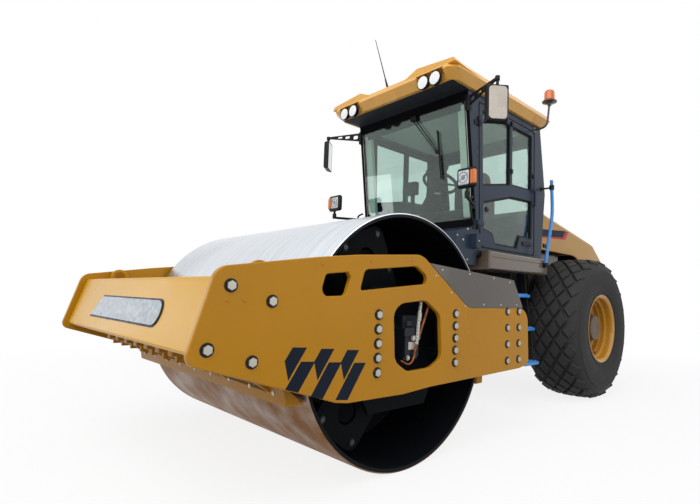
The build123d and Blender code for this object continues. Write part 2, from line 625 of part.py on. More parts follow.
# radio aerial: a thin whip on the roof's front edge
AERIAL_FOOT, AERIAL_TIP, AERIAL_R = (800, -60, 2940), (870, -180, 3440), 4
with BuildPart() as aerial:
    whip = Vector(*AERIAL_TIP) - Vector(*AERIAL_FOOT)
    with BuildSketch(Plane(origin=AERIAL_FOOT, z_dir=whip)):
        RegularPolygon(AERIAL_R, 6)
    extrude(amount=whip.length)
    add(post(AERIAL_FOOT[0], AERIAL_FOOT[1], 16, AERIAL_FOOT[2] - 20, AERIAL_FOOT[2] + 28, 12))
    add(roof.part, mode=Mode.SUBTRACT)
write(aerial.part, "aerial")

# headlamps on stems from the cab's front corners
HEADLAMP_AT, HEADLAMP_SIZE, HEADLAMP_ROUND = (770, 840, 1965), (64, 160, 168), 26
with BuildPart() as headlamps:
    with Locations(HEADLAMP_AT):
        Box(*HEADLAMP_SIZE)
    chamfer(headlamps.edges().filter_by(Axis.X), HEADLAMP_ROUND)
    stem = (HEADLAMP_AT[0], HEADLAMP_AT[1], HEADLAMP_AT[2] - HEADLAMP_SIZE[2] / 2)
    elbow = (HEADLAMP_AT[0], HEADLAMP_AT[1], 1815)
    add(tube((stem, elbow, (560, 730, 1815), (440, 684, 1815)), 11, 30))
    add(cab_block, mode=Mode.SUBTRACT)
    mirror(about=Plane.XZ)
write(headlamps.part, "headlamps")

# mirrors: housings turned to the driver, each on a pierced arm from the cab's front pillar
MIRROR_AT, MIRROR_SIZE, MIRROR_ROUND, MIRROR_TURN = (715, 1070, 2550), (56, 190, 310), 22, 49
ARM_FROM, ARM_TO, ARM_THICK = (562, 688), (715, 1080), 12           # x, y
MIRROR_ARM = ((0, 2740), (1, 2738), (1, 2714), (0, 2655))           # share of the arm, z
ARM_HOLES = (
    ((0.10, 2726), (0.34, 2725), (0.34, 2692), (0.10, 2678)),
    ((0.40, 2725), (0.62, 2725), (0.62, 2706), (0.40, 2695)),
    ((0.68, 2726), (0.86, 2726), (0.86, 2716), (0.68, 2709)),
)
arm_run = Vector(ARM_TO[0] - ARM_FROM[0], ARM_TO[1] - ARM_FROM[1], 0)
arm_plane = Plane(
    origin=(*ARM_FROM, 0), x_dir=arm_run, z_dir=arm_run.cross(Vector(0, 0, 1)),
)
with BuildPart() as mirrors:
    with Locations(Location(MIRROR_AT, (0, 0, MIRROR_TURN))):
        Box(*MIRROR_SIZE)
    chamfer(mirrors.edges().filter_by(lambda edge: edge.length < MIRROR_SIZE[0] + 1), MIRROR_ROUND)
    with BuildSketch(arm_plane):
        with BuildLine():
            Polyline(*((share * arm_run.length, z) for share, z in MIRROR_ARM), close=True)
        make_face()
        for hole in ARM_HOLES:
            with BuildLine():
                Polyline(*((share * arm_run.length, z) for share, z in hole), close=True)
            make_face(mode=Mode.SUBTRACT)
    extrude(amount=ARM_THICK)
    add(post(MIRROR_AT[0], MIRROR_AT[1], 12, MIRROR_AT[2] + MIRROR_SIZE[2] / 2 - 5, 2738, 12))
    add(cab_block, mode=Mode.SUBTRACT)
    mirror(about=Plane.XZ)
write(mirrors.part, "mirrors")

# beacon: a bent tube from the rear pillar, a foot plate and a tapered dome
BEACON_X, BEACON_Y, BEACON_FOOT, BEACON_TOP = -570, 860, 3000, 3130
with BuildPart() as beacon:
    elbow = (BEACON_X, BEACON_Y - 25, 2760)
    foot = (BEACON_X, BEACON_Y, BEACON_FOOT)
    add(tube(((BEACON_X, CAB_Y, 2760), elbow, foot), 11, 70))
    add(post(BEACON_X, BEACON_Y, 56, BEACON_FOOT, BEACON_FOOT + 26, COARSE))
    with BuildSketch(Plane.XY.offset(BEACON_FOOT + 26)):
        with Locations((BEACON_X, BEACON_Y)):
            RegularPolygon(45, COARSE)
    extrude(amount=BEACON_TOP - BEACON_FOOT - 26, taper=5)
    chamfer(beacon.faces().sort_by(Axis.Z)[-1].edges(), 14)
write(beacon.part, "beacon")

# wipers: two parallel arms and a blade in front of the windshield
SCREEN_SLOPE = (SCREEN_X[1] - SCREEN_X[0]) / (SCREEN_Z[1] - SCREEN_Z[0])


def before_screen(y, z, gap):
    """Point this far in front of the windshield."""
    return (SCREEN_X[0] + (z - SCREEN_Z[0]) * SCREEN_SLOPE + gap, y, z)


with BuildPart() as wipers:
    for y_top, y_low in ((60, 330), (95, 350)):
        add(tube((before_screen(y_top, 2690, 26), before_screen(y_low, 2330, 26)), 6, sides=6))
    add(tube((before_screen(350, 2520, 16), before_screen(365, 2080, 16)), 8, sides=6))
    add(block((SCREEN_X[1] - 8, SCREEN_X[1] + 30), (40, 115), (2668, 2712)))
    add(windshield.part, mode=Mode.SUBTRACT)
    add(cab_frame.part, mode=Mode.SUBTRACT)
write(wipers.part, "wipers")

with BuildPart() as seat_base:
    add(block((-420, -20), (-200, 200), (FLOOR_Z + 30, 1800)))
write(seat_base.part, "seat_base")
with BuildPart() as seat_cushions:
    add(block((-440, 40), (-250, 250), (1800, 1920)))
    add(block((-540, -440), (-240, 240), (1820, 2420)))
write(seat_cushions.part, "seat_cushions")

WHEEL_HUB, WHEEL_TILT, WHEEL_RING = (120, 2130), 25, 190
COLUMN_OUTLINE = ((220, 1460), (330, 1460), (330, 1880), (169.4, 2116), (87.8, 2078), (220, 1830))
with BuildPart() as steering_column:
    add(slab(COLUMN_OUTLINE, -60, 60))
    add(block((290, 330), (-180, -60), (1840, 1865)))
    add(block((290, 330), (-180, -150), (1865, 2040)))
    add(block((290, 350), (-240, -100), (2040, 2170)))
write(steering_column.part, "steering_column")
RIM_BAR, WHEEL_SPOKES = 15, 3
with BuildPart() as steering_wheel:
    for z, reach in ((-RIM_BAR, 0), (0, RIM_BAR), (RIM_BAR, 0)):
        with BuildSketch(Plane.XY.offset(z)):
            RegularPolygon(WHEEL_RING + reach, COARSE)
    loft(ruled=True)
    with BuildPart(mode=Mode.PRIVATE) as eye:
        for z, reach in ((-RIM_BAR - 1, 0), (0, RIM_BAR), (RIM_BAR + 1, 0)):
            with BuildSketch(Plane.XY.offset(z)):
                RegularPolygon(WHEEL_RING - reach, COARSE)
        loft(ruled=True)
    add(eye.part, mode=Mode.SUBTRACT)
    with BuildSketch(Plane.XY.offset(-8)):
        with PolarLocations(WHEEL_RING / 2, WHEEL_SPOKES):
            Rectangle(WHEEL_RING - 4, 24)
    extrude(amount=16)
    add(post(0, 0, 40, -30, 12, COARSE))
hub_place = Location((WHEEL_HUB[0], 0, WHEEL_HUB[1]), (0, -WHEEL_TILT, 0))
write(steering_wheel.part.moved(hub_place), "steering_wheel")

# ---- hood ------------------------------------------------------------------
HOOD_REAR = -2930
HOOD_TOP = ((-880, 2000), (-2290, 1768), (-2850, 1495), (HOOD_REAR, 1380), (HOOD_REAR, 1000))
HOOD_SKIRT = 1570                # height of the lower edge ahead of the wheel arch
FACET_AT, FACET_NORMAL = (-1965, 600, 1759), (-9240, 156380, -9600)
BEVEL_AT, BEVEL_NORMAL = (-880, 600, 1955), (-0.1645, 1, 1)


def hood_solid(inset):
    """Closed body under the hood's skin; inset pulls every face inwards."""
    top = [(x + (inset if x < -2900 else 0), z - inset) for x, z in HOOD_TOP]
    top[0] = (HOOD_TOP[0][0] + (1 if inset else 0), top[0][1])
    rear, skirt = -2240 + inset, HOOD_SKIRT - inset
    with BuildPart() as body:
        with BuildSketch(side_plane(HOOD_Y - inset)):
            with BuildLine():
                Polyline(*top, (rear, top[-1][1]))
                ThreePointArc((rear, top[-1][1]), (-2080 + inset, 1400 - inset), (-1700, skirt))
                Polyline((-1700, skirt), (top[0][0], skirt), top[0])
            make_face()
        extrude(amount=2 * (HOOD_Y - inset))
        for at, normal in ((FACET_AT, FACET_NORMAL), (BEVEL_AT, BEVEL_NORMAL)):
            for side in SIDES:
                outward = Vector(normal[0], side * normal[1], normal[2]).normalized()
                origin = Vector(at[0], side * at[1], at[2]) - outward * inset
                split(bisect_by=Plane(origin=origin, z_dir=outward), keep=Keep.BOTTOM)
    return body.part


# the rear is open behind the louvres
GRILLE_Y, GRILLE_OPEN_Y = 505, 440
with BuildPart() as hood:
    add(hood_solid(0))
    add(hood_solid(HOOD_T), mode=Mode.SUBTRACT)
    grille_open = ((-2500, 1900), (-2500, 1400), (-2800, 1100), (-3000, 1100), (-3000, 1900))
    add(slab(grille_open, -GRILLE_OPEN_Y, GRILLE_OPEN_Y), mode=Mode.SUBTRACT)
write(hood.part, "hood")

# louvres: the upper edge of each lies on the hood, the lower edge stands off
LOUVRES = (      # x, z of the upper and the lower edge
    ((-2480, 1675), (-2632, 1662)), ((-2600, 1620), (-2762, 1600)), ((-2725, 1560), (-2882, 1520)),
    ((-2838, 1505), (-2962, 1420)), ((-2915, 1405), (-2985, 1305)), ((-2926, 1300), (-2985, 1195)),
)
LOUVRE_T, RIB_T = 12, 10
with BuildPart() as hood_grille:
    for upper, lower in LOUVRES:
        under = [(x + 4, z - LOUVRE_T) for x, z in (lower, upper)]
        add(slab((upper, lower, *under), -GRILLE_Y, GRILLE_Y))
    rib = ((-2480, 1660), (-2620, 1650), (-2870, 1505), (-2970, 1300), (-2970, 1195), (-2900, 1195))
    for y in (-GRILLE_Y + RIB_T, 0, GRILLE_Y - RIB_T):
        add(slab((*rib, (-2900, 1380), (-2820, 1490)), y - RIB_T / 2, y + RIB_T / 2))
    add(hood_solid(0), mode=Mode.SUBTRACT)
write(hood_grille.part, "hood_grille")

with BuildPart() as bay_panels:
    add(block((-1560, -890), (470, 482), (RAIL_TOP, 1560)))
    mirror(about=Plane.XZ)
    add(block((-890, -870), (-482, 482), (RAIL_TOP, 1960)))
write(bay_panels.part, "bay_panels")

with BuildPart() as tail_lamps:
    add(block((-2940, -2920), (470, 570), (800, 900)))
    mirror(about=Plane.XZ)
write(tail_lamps.part, "tail_lamps")
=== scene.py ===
"""Finished surfaces and fittings of an articulated single-drum road roller."""

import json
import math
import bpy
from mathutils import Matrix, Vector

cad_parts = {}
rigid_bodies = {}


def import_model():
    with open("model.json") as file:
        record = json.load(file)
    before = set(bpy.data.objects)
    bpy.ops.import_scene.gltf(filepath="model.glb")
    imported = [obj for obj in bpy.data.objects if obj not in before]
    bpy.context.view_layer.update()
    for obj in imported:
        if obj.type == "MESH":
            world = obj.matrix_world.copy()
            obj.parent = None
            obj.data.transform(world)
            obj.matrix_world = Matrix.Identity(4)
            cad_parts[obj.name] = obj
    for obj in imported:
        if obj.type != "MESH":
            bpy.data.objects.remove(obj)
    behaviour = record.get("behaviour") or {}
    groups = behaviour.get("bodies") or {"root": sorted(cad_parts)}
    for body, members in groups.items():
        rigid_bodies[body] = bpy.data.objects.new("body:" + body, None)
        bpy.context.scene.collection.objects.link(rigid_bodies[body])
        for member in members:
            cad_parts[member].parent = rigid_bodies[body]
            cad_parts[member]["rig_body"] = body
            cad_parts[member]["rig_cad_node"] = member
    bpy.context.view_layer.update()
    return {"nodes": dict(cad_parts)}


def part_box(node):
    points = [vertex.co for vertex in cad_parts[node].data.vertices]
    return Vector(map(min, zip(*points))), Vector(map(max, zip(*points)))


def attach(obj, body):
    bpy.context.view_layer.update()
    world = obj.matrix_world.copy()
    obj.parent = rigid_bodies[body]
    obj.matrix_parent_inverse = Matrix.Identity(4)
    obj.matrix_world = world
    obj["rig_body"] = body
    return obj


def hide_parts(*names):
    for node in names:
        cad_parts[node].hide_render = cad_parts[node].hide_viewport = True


bl_info = {
    "name": "Single Drum Road Roller",
    "version": (1, 0, 0),
    "blender": (4, 5, 0),
    "location": "View3D > Sidebar > Roller",
    "description": "Builds the finished surfaces and fittings of an articulated road roller",
    "category": "Object",
}

from contextlib import contextmanager

import bpy
from bpy.props import FloatProperty, FloatVectorProperty, PointerProperty
from mathutils import Matrix, Vector

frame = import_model()
NODES = frame["nodes"]
SIDES = ((1, "left"), (-1, "right"))


# ---- colour and node helpers --------------------------------------------------
def linear(code):
    """Linear colour of an sRGB hex value."""
    channels = (int(code[start:start + 2], 16) / 255 for start in (1, 3, 5))
    return tuple(c / 12.92 if c <= 0.04045 else ((c + 0.055) / 1.055) ** 2.4 for c in channels)


def rgba(colour, gain=1.0):
    """Four-channel colour for a socket, with its brightness scaled."""
    return (*(min(1.0, channel * gain) for channel in colour), 1.0)


def per_metre(millimetres):
    """Texture scale that gives a pattern this real size."""
    return 1000.0 / millimetres


def add_node(tree, kind, settings=None, links=None):
    """Adds a node, sets its properties or sockets, and links its inputs."""
    node = tree.nodes.new(kind)
    for name, value in (settings or {}).items():
        if hasattr(node, str(name)):
            setattr(node, name, value)
        else:
            node.inputs[name].default_value = value
    for name, socket in (links or {}).items():
        tree.links.new(socket, node.inputs[name])
    return node


def new_material(name, **sockets):
    """A material with its shader's constant sockets set."""
    material = bpy.data.materials.new(name)
    material.use_nodes = True
    shader = material.node_tree.nodes["Principled BSDF"]
    for socket, value in sockets.items():
        shader.inputs[socket.replace("_", " ")].default_value = value
    return material, material.node_tree, shader


# ---- modelling helpers --------------------------------------------------------
def deselect():
    """Clears the selection, which the loaded frame leaves on its own nodes."""
    bpy.ops.object.select_all(action="DESELECT")


def activate(piece):
    """Makes one piece the only selected and active object."""
    deselect()
    piece.select_set(True)
    bpy.context.view_layer.objects.active = piece


def placed(name):
    """Names the new active object and moves its place into its mesh."""
    piece = bpy.context.active_object
    piece.name = name
    piece.data.name = name
    activate(piece)
    bpy.ops.object.transform_apply(location=True, rotation=True, scale=True)
    return piece


@contextmanager
def editing(piece, kind="FACE"):
    """Edit mode on a piece, with everything selected to begin with."""
    activate(piece)
    bpy.ops.object.mode_set(mode="EDIT")
    bpy.ops.mesh.select_mode(type=kind)
    bpy.ops.mesh.select_all(action="SELECT")
    yield
    bpy.ops.object.mode_set(mode="OBJECT")


def pick(piece, test):
    """Within edit mode, selects the faces that pass a test."""
    bpy.ops.object.mode_set(mode="OBJECT")
    mesh = piece.data
    mesh.vertices.foreach_set("select", [False] * len(mesh.vertices))
    mesh.edges.foreach_set("select", [False] * len(mesh.edges))
    mesh.polygons.foreach_set("select", [bool(test(face)) for face in mesh.polygons])
    bpy.ops.object.mode_set(mode="EDIT")


def box(name, low, high):
    """Block between two corners."""
    low, high = Vector(low), Vector(high)
    deselect()
    bpy.ops.mesh.primitive_cube_add(size=1, location=(low + high) / 2, scale=high - low)
    return placed(name)


def block(name, low, high, width, segments=2):
    """Block between two corners, its edges rounded."""
    return bevelled(box(name, low, high), width, segments)


def rod(name, start, end, radius, sides=20, end_radius=None):
    """Round bar or cone between two points."""
    start, end = Vector(start), Vector(end)
    deselect()
    bpy.ops.mesh.primitive_cone_add(
        vertices=sides,
        radius1=radius,
        radius2=radius if end_radius is None else end_radius,
        depth=(end - start).length,
        location=(start + end) / 2,
        rotation=(end - start).to_track_quat("Z", "Y").to_euler(),
    )
    return placed(name)


def across(axis, depth, u, v):
    """Point at a depth along an axis, with u and v on the other two."""
    return {"X": (depth, u, v), "Y": (u, depth, v), "Z": (u, v, depth)}[axis]


def plate(name, outline, low, high, axis="Y", margin=None):
    """Flat plate: an outline across the axis, extruded from low to high, or only its margin."""
    deselect()
    bpy.ops.mesh.primitive_circle_add(vertices=len(outline), fill_type="NGON")
    piece = bpy.context.active_object
    for vertex, (u, v) in zip(piece.data.vertices, outline):
        vertex.co = across(axis, low, u, v)
    with editing(piece):
        if margin:
            bpy.ops.mesh.inset(thickness=margin)
            bpy.ops.mesh.delete(type="FACE")
            bpy.ops.mesh.select_all(action="SELECT")
        step = Vector(across(axis, high - low, 0, 0))
        bpy.ops.mesh.extrude_region_move(TRANSFORM_OT_translate={"value": step})
        bpy.ops.mesh.select_all(action="SELECT")
        bpy.ops.mesh.normals_make_consistent(inside=False)
    return placed(name)


def turned(name, profile, centre, axis="Y", steps=64, side=1):
    """Ring about an axis through the centre, from (radius, offset) points."""
    deselect()
    bpy.ops.mesh.primitive_circle_add(vertices=len(profile), fill_type="NOTHING")
    piece = bpy.context.active_object
    centre = Vector(centre)
    turn = Vector(across(axis, 1, 0, 0))
    outward = Vector(across(axis, 0, 0, 1))
    for vertex, (radius, offset) in zip(piece.data.vertices, profile):
        vertex.co = centre + turn * offset * side + outward * radius
    with editing(piece, "VERT"):
        bpy.ops.mesh.spin(
            steps=steps, angle=2 * math.pi, center=centre, axis=turn, use_auto_merge=True
        )
        bpy.ops.mesh.select_all(action="SELECT")
        bpy.ops.mesh.remove_doubles(threshold=1e-5)
        bpy.ops.mesh.normals_make_consistent(inside=False)
    return placed(name)


def tube(name, points, radius, corner=0.05, sides=12, cyclic=False):
    """Round bar along a path whose corners are rounded."""
    curve = bpy.data.curves.new(name, "CURVE")
    curve.dimensions = "3D"
    curve.bevel_depth = radius
    curve.bevel_resolution = max(1, sides // 4)
    curve.use_fill_caps = True
    spline = curve.splines.new("POLY")
    path = rounded_path([Vector(p) for p in points], corner)
    spline.points.add(len(path) - 1)
    for point, place in zip(spline.points, path):
        point.co = (*place, 1)
    spline.use_cyclic_u = cyclic
    piece = bpy.data.objects.new(name, curve)
    bpy.context.scene.collection.objects.link(piece)
    activate(piece)
    bpy.ops.object.convert(target="MESH")
    smooth(piece, 50)
    return placed(name)


def rounded_path(points, corner, turns=6):
    """Points of a path with each inner corner replaced by a curve."""
    path = [points[0]]
    for before, here, after in zip(points, points[1:], points[2:]):
        reach = min(corner, (before - here).length / 2.1, (after - here).length / 2.1)
        start = here + (before - here).normalized() * reach
        end = here + (after - here).normalized() * reach
        for step in range(turns + 1):
            t = step / turns
            path.append(start * (1 - t) ** 2 + here * 2 * t * (1 - t) + end * t * t)
    return path + [points[-1]]


def smooth(piece, angle=35):
    """Smooth shading that keeps edges sharper than the angle."""
    activate(piece)
    bpy.ops.object.shade_smooth_by_angle(angle=math.radians(angle))
    return piece


def modified(piece, kind, **settings):
    """Applies a modifier to a piece."""
    activate(piece)
    bpy.ops.object.modifier_add(type=kind)
    modifier = piece.modifiers[-1]
    for name, value in settings.items():
        setattr(modifier, name, value)
    bpy.ops.object.modifier_apply(modifier=modifier.name)
    return piece


def bevelled(piece, width, segments=2, angle=30):
    """Rounds the edges of a piece and smooths it."""
    modified(
        piece, "BEVEL", width=width, segments=segments, limit_method="ANGLE",
        angle_limit=math.radians(angle),
    )
    smooth(piece, 40)
    return modified(piece, "WEIGHTED_NORMAL", keep_sharp=True)


def round_corners(piece, axis, radius, segments=4, turn=20):
    """Rounds the corners of a plate: its edges that run along the axis."""
    mesh = piece.data
    along = Vector(across(axis, 1, 0, 0))
    normals = {}
    for face in mesh.polygons:
        for key in face.edge_keys:
            normals.setdefault(key, []).append(face.normal)
    runs, shortest = [], {}
    for edge in mesh.edges:
        start, end = (mesh.vertices[index].co for index in edge.vertices)
        sides = normals[edge.key]
        parallel = abs((end - start).normalized().dot(along)) > 0.999
        runs.append(parallel and len(sides) == 2 and sides[0].angle(sides[1]) > math.radians(turn))
        if not parallel and len(sides) == 2 and abs(sides[0].dot(along) - sides[1].dot(along)) > 0.5:
            for index in edge.vertices:
                length = (end - start).length
                shortest[index] = min(length, shortest.get(index, length))
    chosen = [
        run and all(shortest.get(index, 1.0) > 2.05 * radius for index in edge.vertices)
        for run, edge in zip(runs, mesh.edges)
    ]
    with editing(piece, "EDGE"):
        bpy.ops.object.mode_set(mode="OBJECT")
        mesh.vertices.foreach_set("select", [False] * len(mesh.vertices))
        mesh.polygons.foreach_set("select", [False] * len(mesh.polygons))
        mesh.edges.foreach_set("select", chosen)
        bpy.ops.object.mode_set(mode="EDIT")
        bpy.ops.mesh.bevel(offset=radius, segments=segments, affect="EDGES", clamp_overlap=True)
    return piece


def cut(piece, *cutters):
    """Subtracts the cutters from a piece."""
    for cutter in cutters:
        modified(piece, "BOOLEAN", operation="DIFFERENCE", object=cutter)
        bpy.data.objects.remove(cutter)
    return piece


def mirrored(piece):
    """Adds the same shape on the machine's other side."""
    return modified(piece, "MIRROR", use_axis=(False, True, False))


def joined(name, pieces):
    """Joins pieces into one object."""
    deselect()
    for piece in pieces:
        piece.select_set(True)
    bpy.context.view_layer.objects.active = pieces[0]
    if len(pieces) > 1:
        bpy.ops.object.join()
    return placed(name)


def duplicate(source):
    """Copy of an object, with a mesh of its own."""
    copy = source.copy()
    copy.data = source.data.copy()
    bpy.context.scene.collection.objects.link(copy)
    return copy


def copies(name, pattern, places):
    """Copies a pattern to each matrix or offset, as one joined piece."""
    made = []
    for place in places:
        copy = duplicate(pattern)
        copy.data.transform(place if isinstance(place, Matrix) else Matrix.Translation(place))
        made.append(copy)
    bpy.data.objects.remove(pattern)
    return joined(name, made)


def softened(node, width, angle=30, segments=2):
    """Copy of a CAD node with its edges rounded, which stands for the node."""
    piece = duplicate(NODES[node])
    piece.parent = None
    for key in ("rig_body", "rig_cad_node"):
        del piece[key]
    piece.name = node + "_finished"
    with editing(piece, "VERT"):
        bpy.ops.mesh.remove_doubles(threshold=1e-5)
        bpy.ops.mesh.dissolve_limited(angle_limit=math.radians(1))
    return bevelled(piece, width, segments, angle)


def dress(piece, body, material, stands_for=()):
    """Gives a piece its finish and fixes it to a body of the machine."""
    piece.data.materials.clear()
    piece.data.materials.append(finish(material))
    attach(piece, body)
    if stands_for:
        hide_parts(*stands_for)


def dress_node(node, width, body, material, **shape):
    """Dresses a copy of a CAD node, its edges rounded, in the place of the node."""
    dress(softened(node, width, **shape), body, material, stands_for=(node,))


# ---- materials ----------------------------------------------------------------
def surface_point(tree):
    """Place on the object, which rides with each piece."""
    return add_node(tree, "ShaderNodeTexCoord").outputs["Object"]


def cloud(tree, point, size, detail=3.0, roughness=0.55):
    """Soft noise whose blotches have this size in millimetres."""
    noise = add_node(
        tree,
        "ShaderNodeTexNoise",
        {"Scale": per_metre(size), "Detail": detail, "Roughness": roughness},
        {"Vector": point},
    )
    return noise.outputs["Fac"]


def spread(tree, value, low, high, floor, ceiling):
    """Maps a value between two marks onto a new range."""
    node = add_node(
        tree,
        "ShaderNodeMapRange",
        {"From Min": low, "From Max": high, "To Min": floor, "To Max": ceiling},
        {"Value": value},
    )
    return node.outputs["Result"]


def between(tree, factor, dark, light):
    """Colour that runs from one to the other with the factor."""
    mix = add_node(tree, "ShaderNodeMix", {"data_type": "RGBA"})
    for index, colour in ((6, dark), (7, light)):
        if isinstance(colour, tuple):
            mix.inputs[index].default_value = colour
        else:
            tree.links.new(colour, mix.inputs[index])
    tree.links.new(factor, mix.inputs[0])
    return mix.outputs[2]


def relief(tree, shader, height, depth, strength=1.0):
    """Bumps the surface by a height pattern of this depth in millimetres."""
    bump = add_node(
        tree,
        "ShaderNodeBump",
        {"Strength": strength, "Distance": depth / 1000},
        {"Height": height},
    )
    tree.links.new(bump.outputs["Normal"], shader.inputs["Normal"])


def combine(tree, operation, first, second):
    """Two values put together by an arithmetic operation."""
    node = add_node(tree, "ShaderNodeMath", {"operation": operation}, {0: first, 1: second})
    return node.outputs[0]


def waves(tree, point, size, direction):
    """Parallel bands across a direction; the texture repeats over this size in millimetres."""
    node = add_node(
        tree,
        "ShaderNodeTexWave",
        {"Scale": per_metre(size), "bands_direction": direction},
        {"Vector": point},
    )
    return node.outputs["Fac"]


def from_axle(tree, point, low, high):
    """Distance of the surface from a crosswise axle through the middle of a box."""
    middle = (low + high) / 2
    away = add_node(
        tree,
        "ShaderNodeMapping",
        {"Location": (-middle.x, 0.0, -middle.z), "Scale": (1.0, 0.0, 1.0)},
        {"Vector": point},
    ).outputs["Vector"]
    return add_node(tree, "ShaderNodeVectorMath", {"operation": "LENGTH"}, {0: away}).outputs["Value"]


def shaded(tree, shader, factor, colour, dark, light):
    """Base colour that runs from a darker to a lighter shade with the factor."""
    tree.links.new(between(tree, factor, rgba(colour, dark), rgba(colour, light)),
                   shader.inputs["Base Color"])


def uneven(tree, shader, factor, low, high, marks=(0.3, 0.7)):
    """Roughness that runs between two values as the factor passes between two marks."""
    tree.links.new(spread(tree, factor, *marks, low, high), shader.inputs["Roughness"])


def height_above_ground(tree, point):
    """Height of the surface in metres."""
    return add_node(tree, "ShaderNodeSeparateXYZ", links={"Vector": point}).outputs["Z"]


def enamel(name, colour, roughness=0.3, coat=0.0, dust=0.1, gloss=0.2):
    """Sprayed enamel on steel plate: a deep colour under faint orange peel, dusty low down."""
    material, tree, shader = new_material(
        name, Coat_Weight=coat, Coat_Roughness=0.08, Specular_IOR_Level=gloss
    )
    point = surface_point(tree)
    patches = cloud(tree, point, 420)
    paint = between(tree, patches, rgba(colour, 0.9), rgba(colour, 1.08))
    low = spread(tree, height_above_ground(tree, point), 0.3, 1.3, dust, 0.0)
    specks = spread(tree, cloud(tree, point, 60, 5), 0.35, 0.7, 0.2, 1.0)
    film = combine(tree, "MULTIPLY", low, specks)
    tree.links.new(between(tree, film, paint, rgba(linear("#9C8B73"))), shader.inputs["Base Color"])
    uneven(tree, shader, patches, roughness - 0.05, roughness + 0.08)
    relief(tree, shader, cloud(tree, point, 6, 1), 0.25, 0.35)
    return material


def rolled_steel(name, bright, ground_reflection_colour, inside):
    """Ground drum shell: fine rings around the drum, a painted reflection of the brownish ground low down,
    painted inside.
    """
    material, tree, shader = new_material(name, Metallic=1.0, Specular_IOR_Level=0.08)
    low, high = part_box("drum")
    point = surface_point(tree)
    rings = add_node(
        tree,
        "ShaderNodeMapping",
        {"vector_type": "POINT", "Scale": (1.2, 260.0, 1.2)},
        {"Vector": point},
    ).outputs["Vector"]
    brushed = add_node(
        tree, "ShaderNodeTexNoise", {"Scale": 1.0, "Detail": 4.0}, {"Vector": rings}
    ).outputs["Fac"]
    # painted reflection: the lower drum takes the brownish colour of the ground reflected in it, broken up by
    # blotches; the same mask roughens the steel there
    blotches = cloud(tree, point, 240, 6)
    height = height_above_ground(tree, point)
    low_down = spread(tree, height, 0.95, 0.45, 0.0, 1.0)
    ground_reflection_mask = combine(tree, "MULTIPLY", low_down, spread(tree, blotches, 0.3, 0.6, 0.75, 1.0))
    steel = between(tree, spread(tree, brushed, 0.3, 0.7, 0.0, 1.0), rgba(bright, 0.8), rgba(bright, 1.1))
    shell = between(tree, ground_reflection_mask, steel, rgba(ground_reflection_colour))
    radius = from_axle(tree, point, low, high)
    wall = (high.x - low.x) / 2 - 0.008
    outer = spread(tree, radius, wall, wall + 0.0005, 0.0, 1.0)
    tree.links.new(between(tree, outer, rgba(inside), shell), shader.inputs["Base Color"])
    tree.links.new(outer, shader.inputs["Metallic"])
    ground = spread(tree, brushed, 0.3, 0.7, 0.22, 0.42)
    dull = add_node(
        tree, "ShaderNodeMath", {"operation": "MULTIPLY_ADD", 1: 0.25}, {0: ground_reflection_mask, 2: ground}
    ).outputs[0]
    tree.links.new(dull, shader.inputs["Roughness"])
    relief(tree, shader, brushed, 0.3, 0.25)
    return material


def moulded_rubber(name, colour, tread=None):
    """Rubber: matt, slightly mottled, with pale dust in the pores; given a tread, darker inward of it."""
    material, tree, shader = new_material(name, IOR=1.52, Specular_IOR_Level=0.12)
    point = surface_point(tree)
    grain = cloud(tree, point, 14, 6, 0.65)
    dust = spread(tree, cloud(tree, point, 160, 6), 0.5, 0.8, 0.0, 0.18)
    base = between(tree, grain, rgba(colour, 0.7), rgba(colour, 1.25))
    # darker inward of the tread, towards the hub
    if tread:
        radius = from_axle(tree, point, *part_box("tyre_left"))
        outward = spread(tree, radius, *tread, 0.0, 1.0)
        base = between(tree, outward, rgba(colour, 0.55), base)
    tree.links.new(between(tree, dust, base, rgba(linear("#4E4233"))), shader.inputs["Base Color"])
    uneven(tree, shader, grain, 0.55, 0.8)
    relief(tree, shader, grain, 1.2, 0.5)
    return material


def moulded_plastic(name, colour, roughness=0.45, gloss=0.2):
    """Injection-moulded ABS with a fine leather grain, drawn coarse enough to show."""
    material, tree, shader = new_material(name, IOR=1.53, Specular_IOR_Level=gloss)
    point = surface_point(tree)
    grain = add_node(
        tree, "ShaderNodeTexVoronoi", {"Scale": per_metre(4)}, {"Vector": point}
    ).outputs["Distance"]
    patches = cloud(tree, point, 90)
    shaded(tree, shader, patches, colour, 0.85, 1.15)
    uneven(tree, shader, patches, roughness - 0.06, roughness + 0.1)
    relief(tree, shader, grain, 0.2, 0.4)
    return material


def bare_metal(name, colour, roughness=0.3):
    """Plated or drawn steel: a bright metal with faint cloudy wear."""
    material, tree, shader = new_material(name, Metallic=1.0)
    point = surface_point(tree)
    wear = cloud(tree, point, 25, 5)
    shaded(tree, shader, wear, colour, 0.75, 1.1)
    uneven(tree, shader, wear, roughness, roughness + 0.2)
    return material


def cast_iron(name, colour):
    """Painted casting: a sandy skin that breaks up the gloss."""
    material, tree, shader = new_material(name, Specular_IOR_Level=0.2)
    point = surface_point(tree)
    sand = cloud(tree, point, 9, 4)
    shaded(tree, shader, sand, colour, 0.7, 1.2)
    uneven(tree, shader, sand, 0.4, 0.65)
    relief(tree, shader, sand, 1.0, 0.5)
    return material


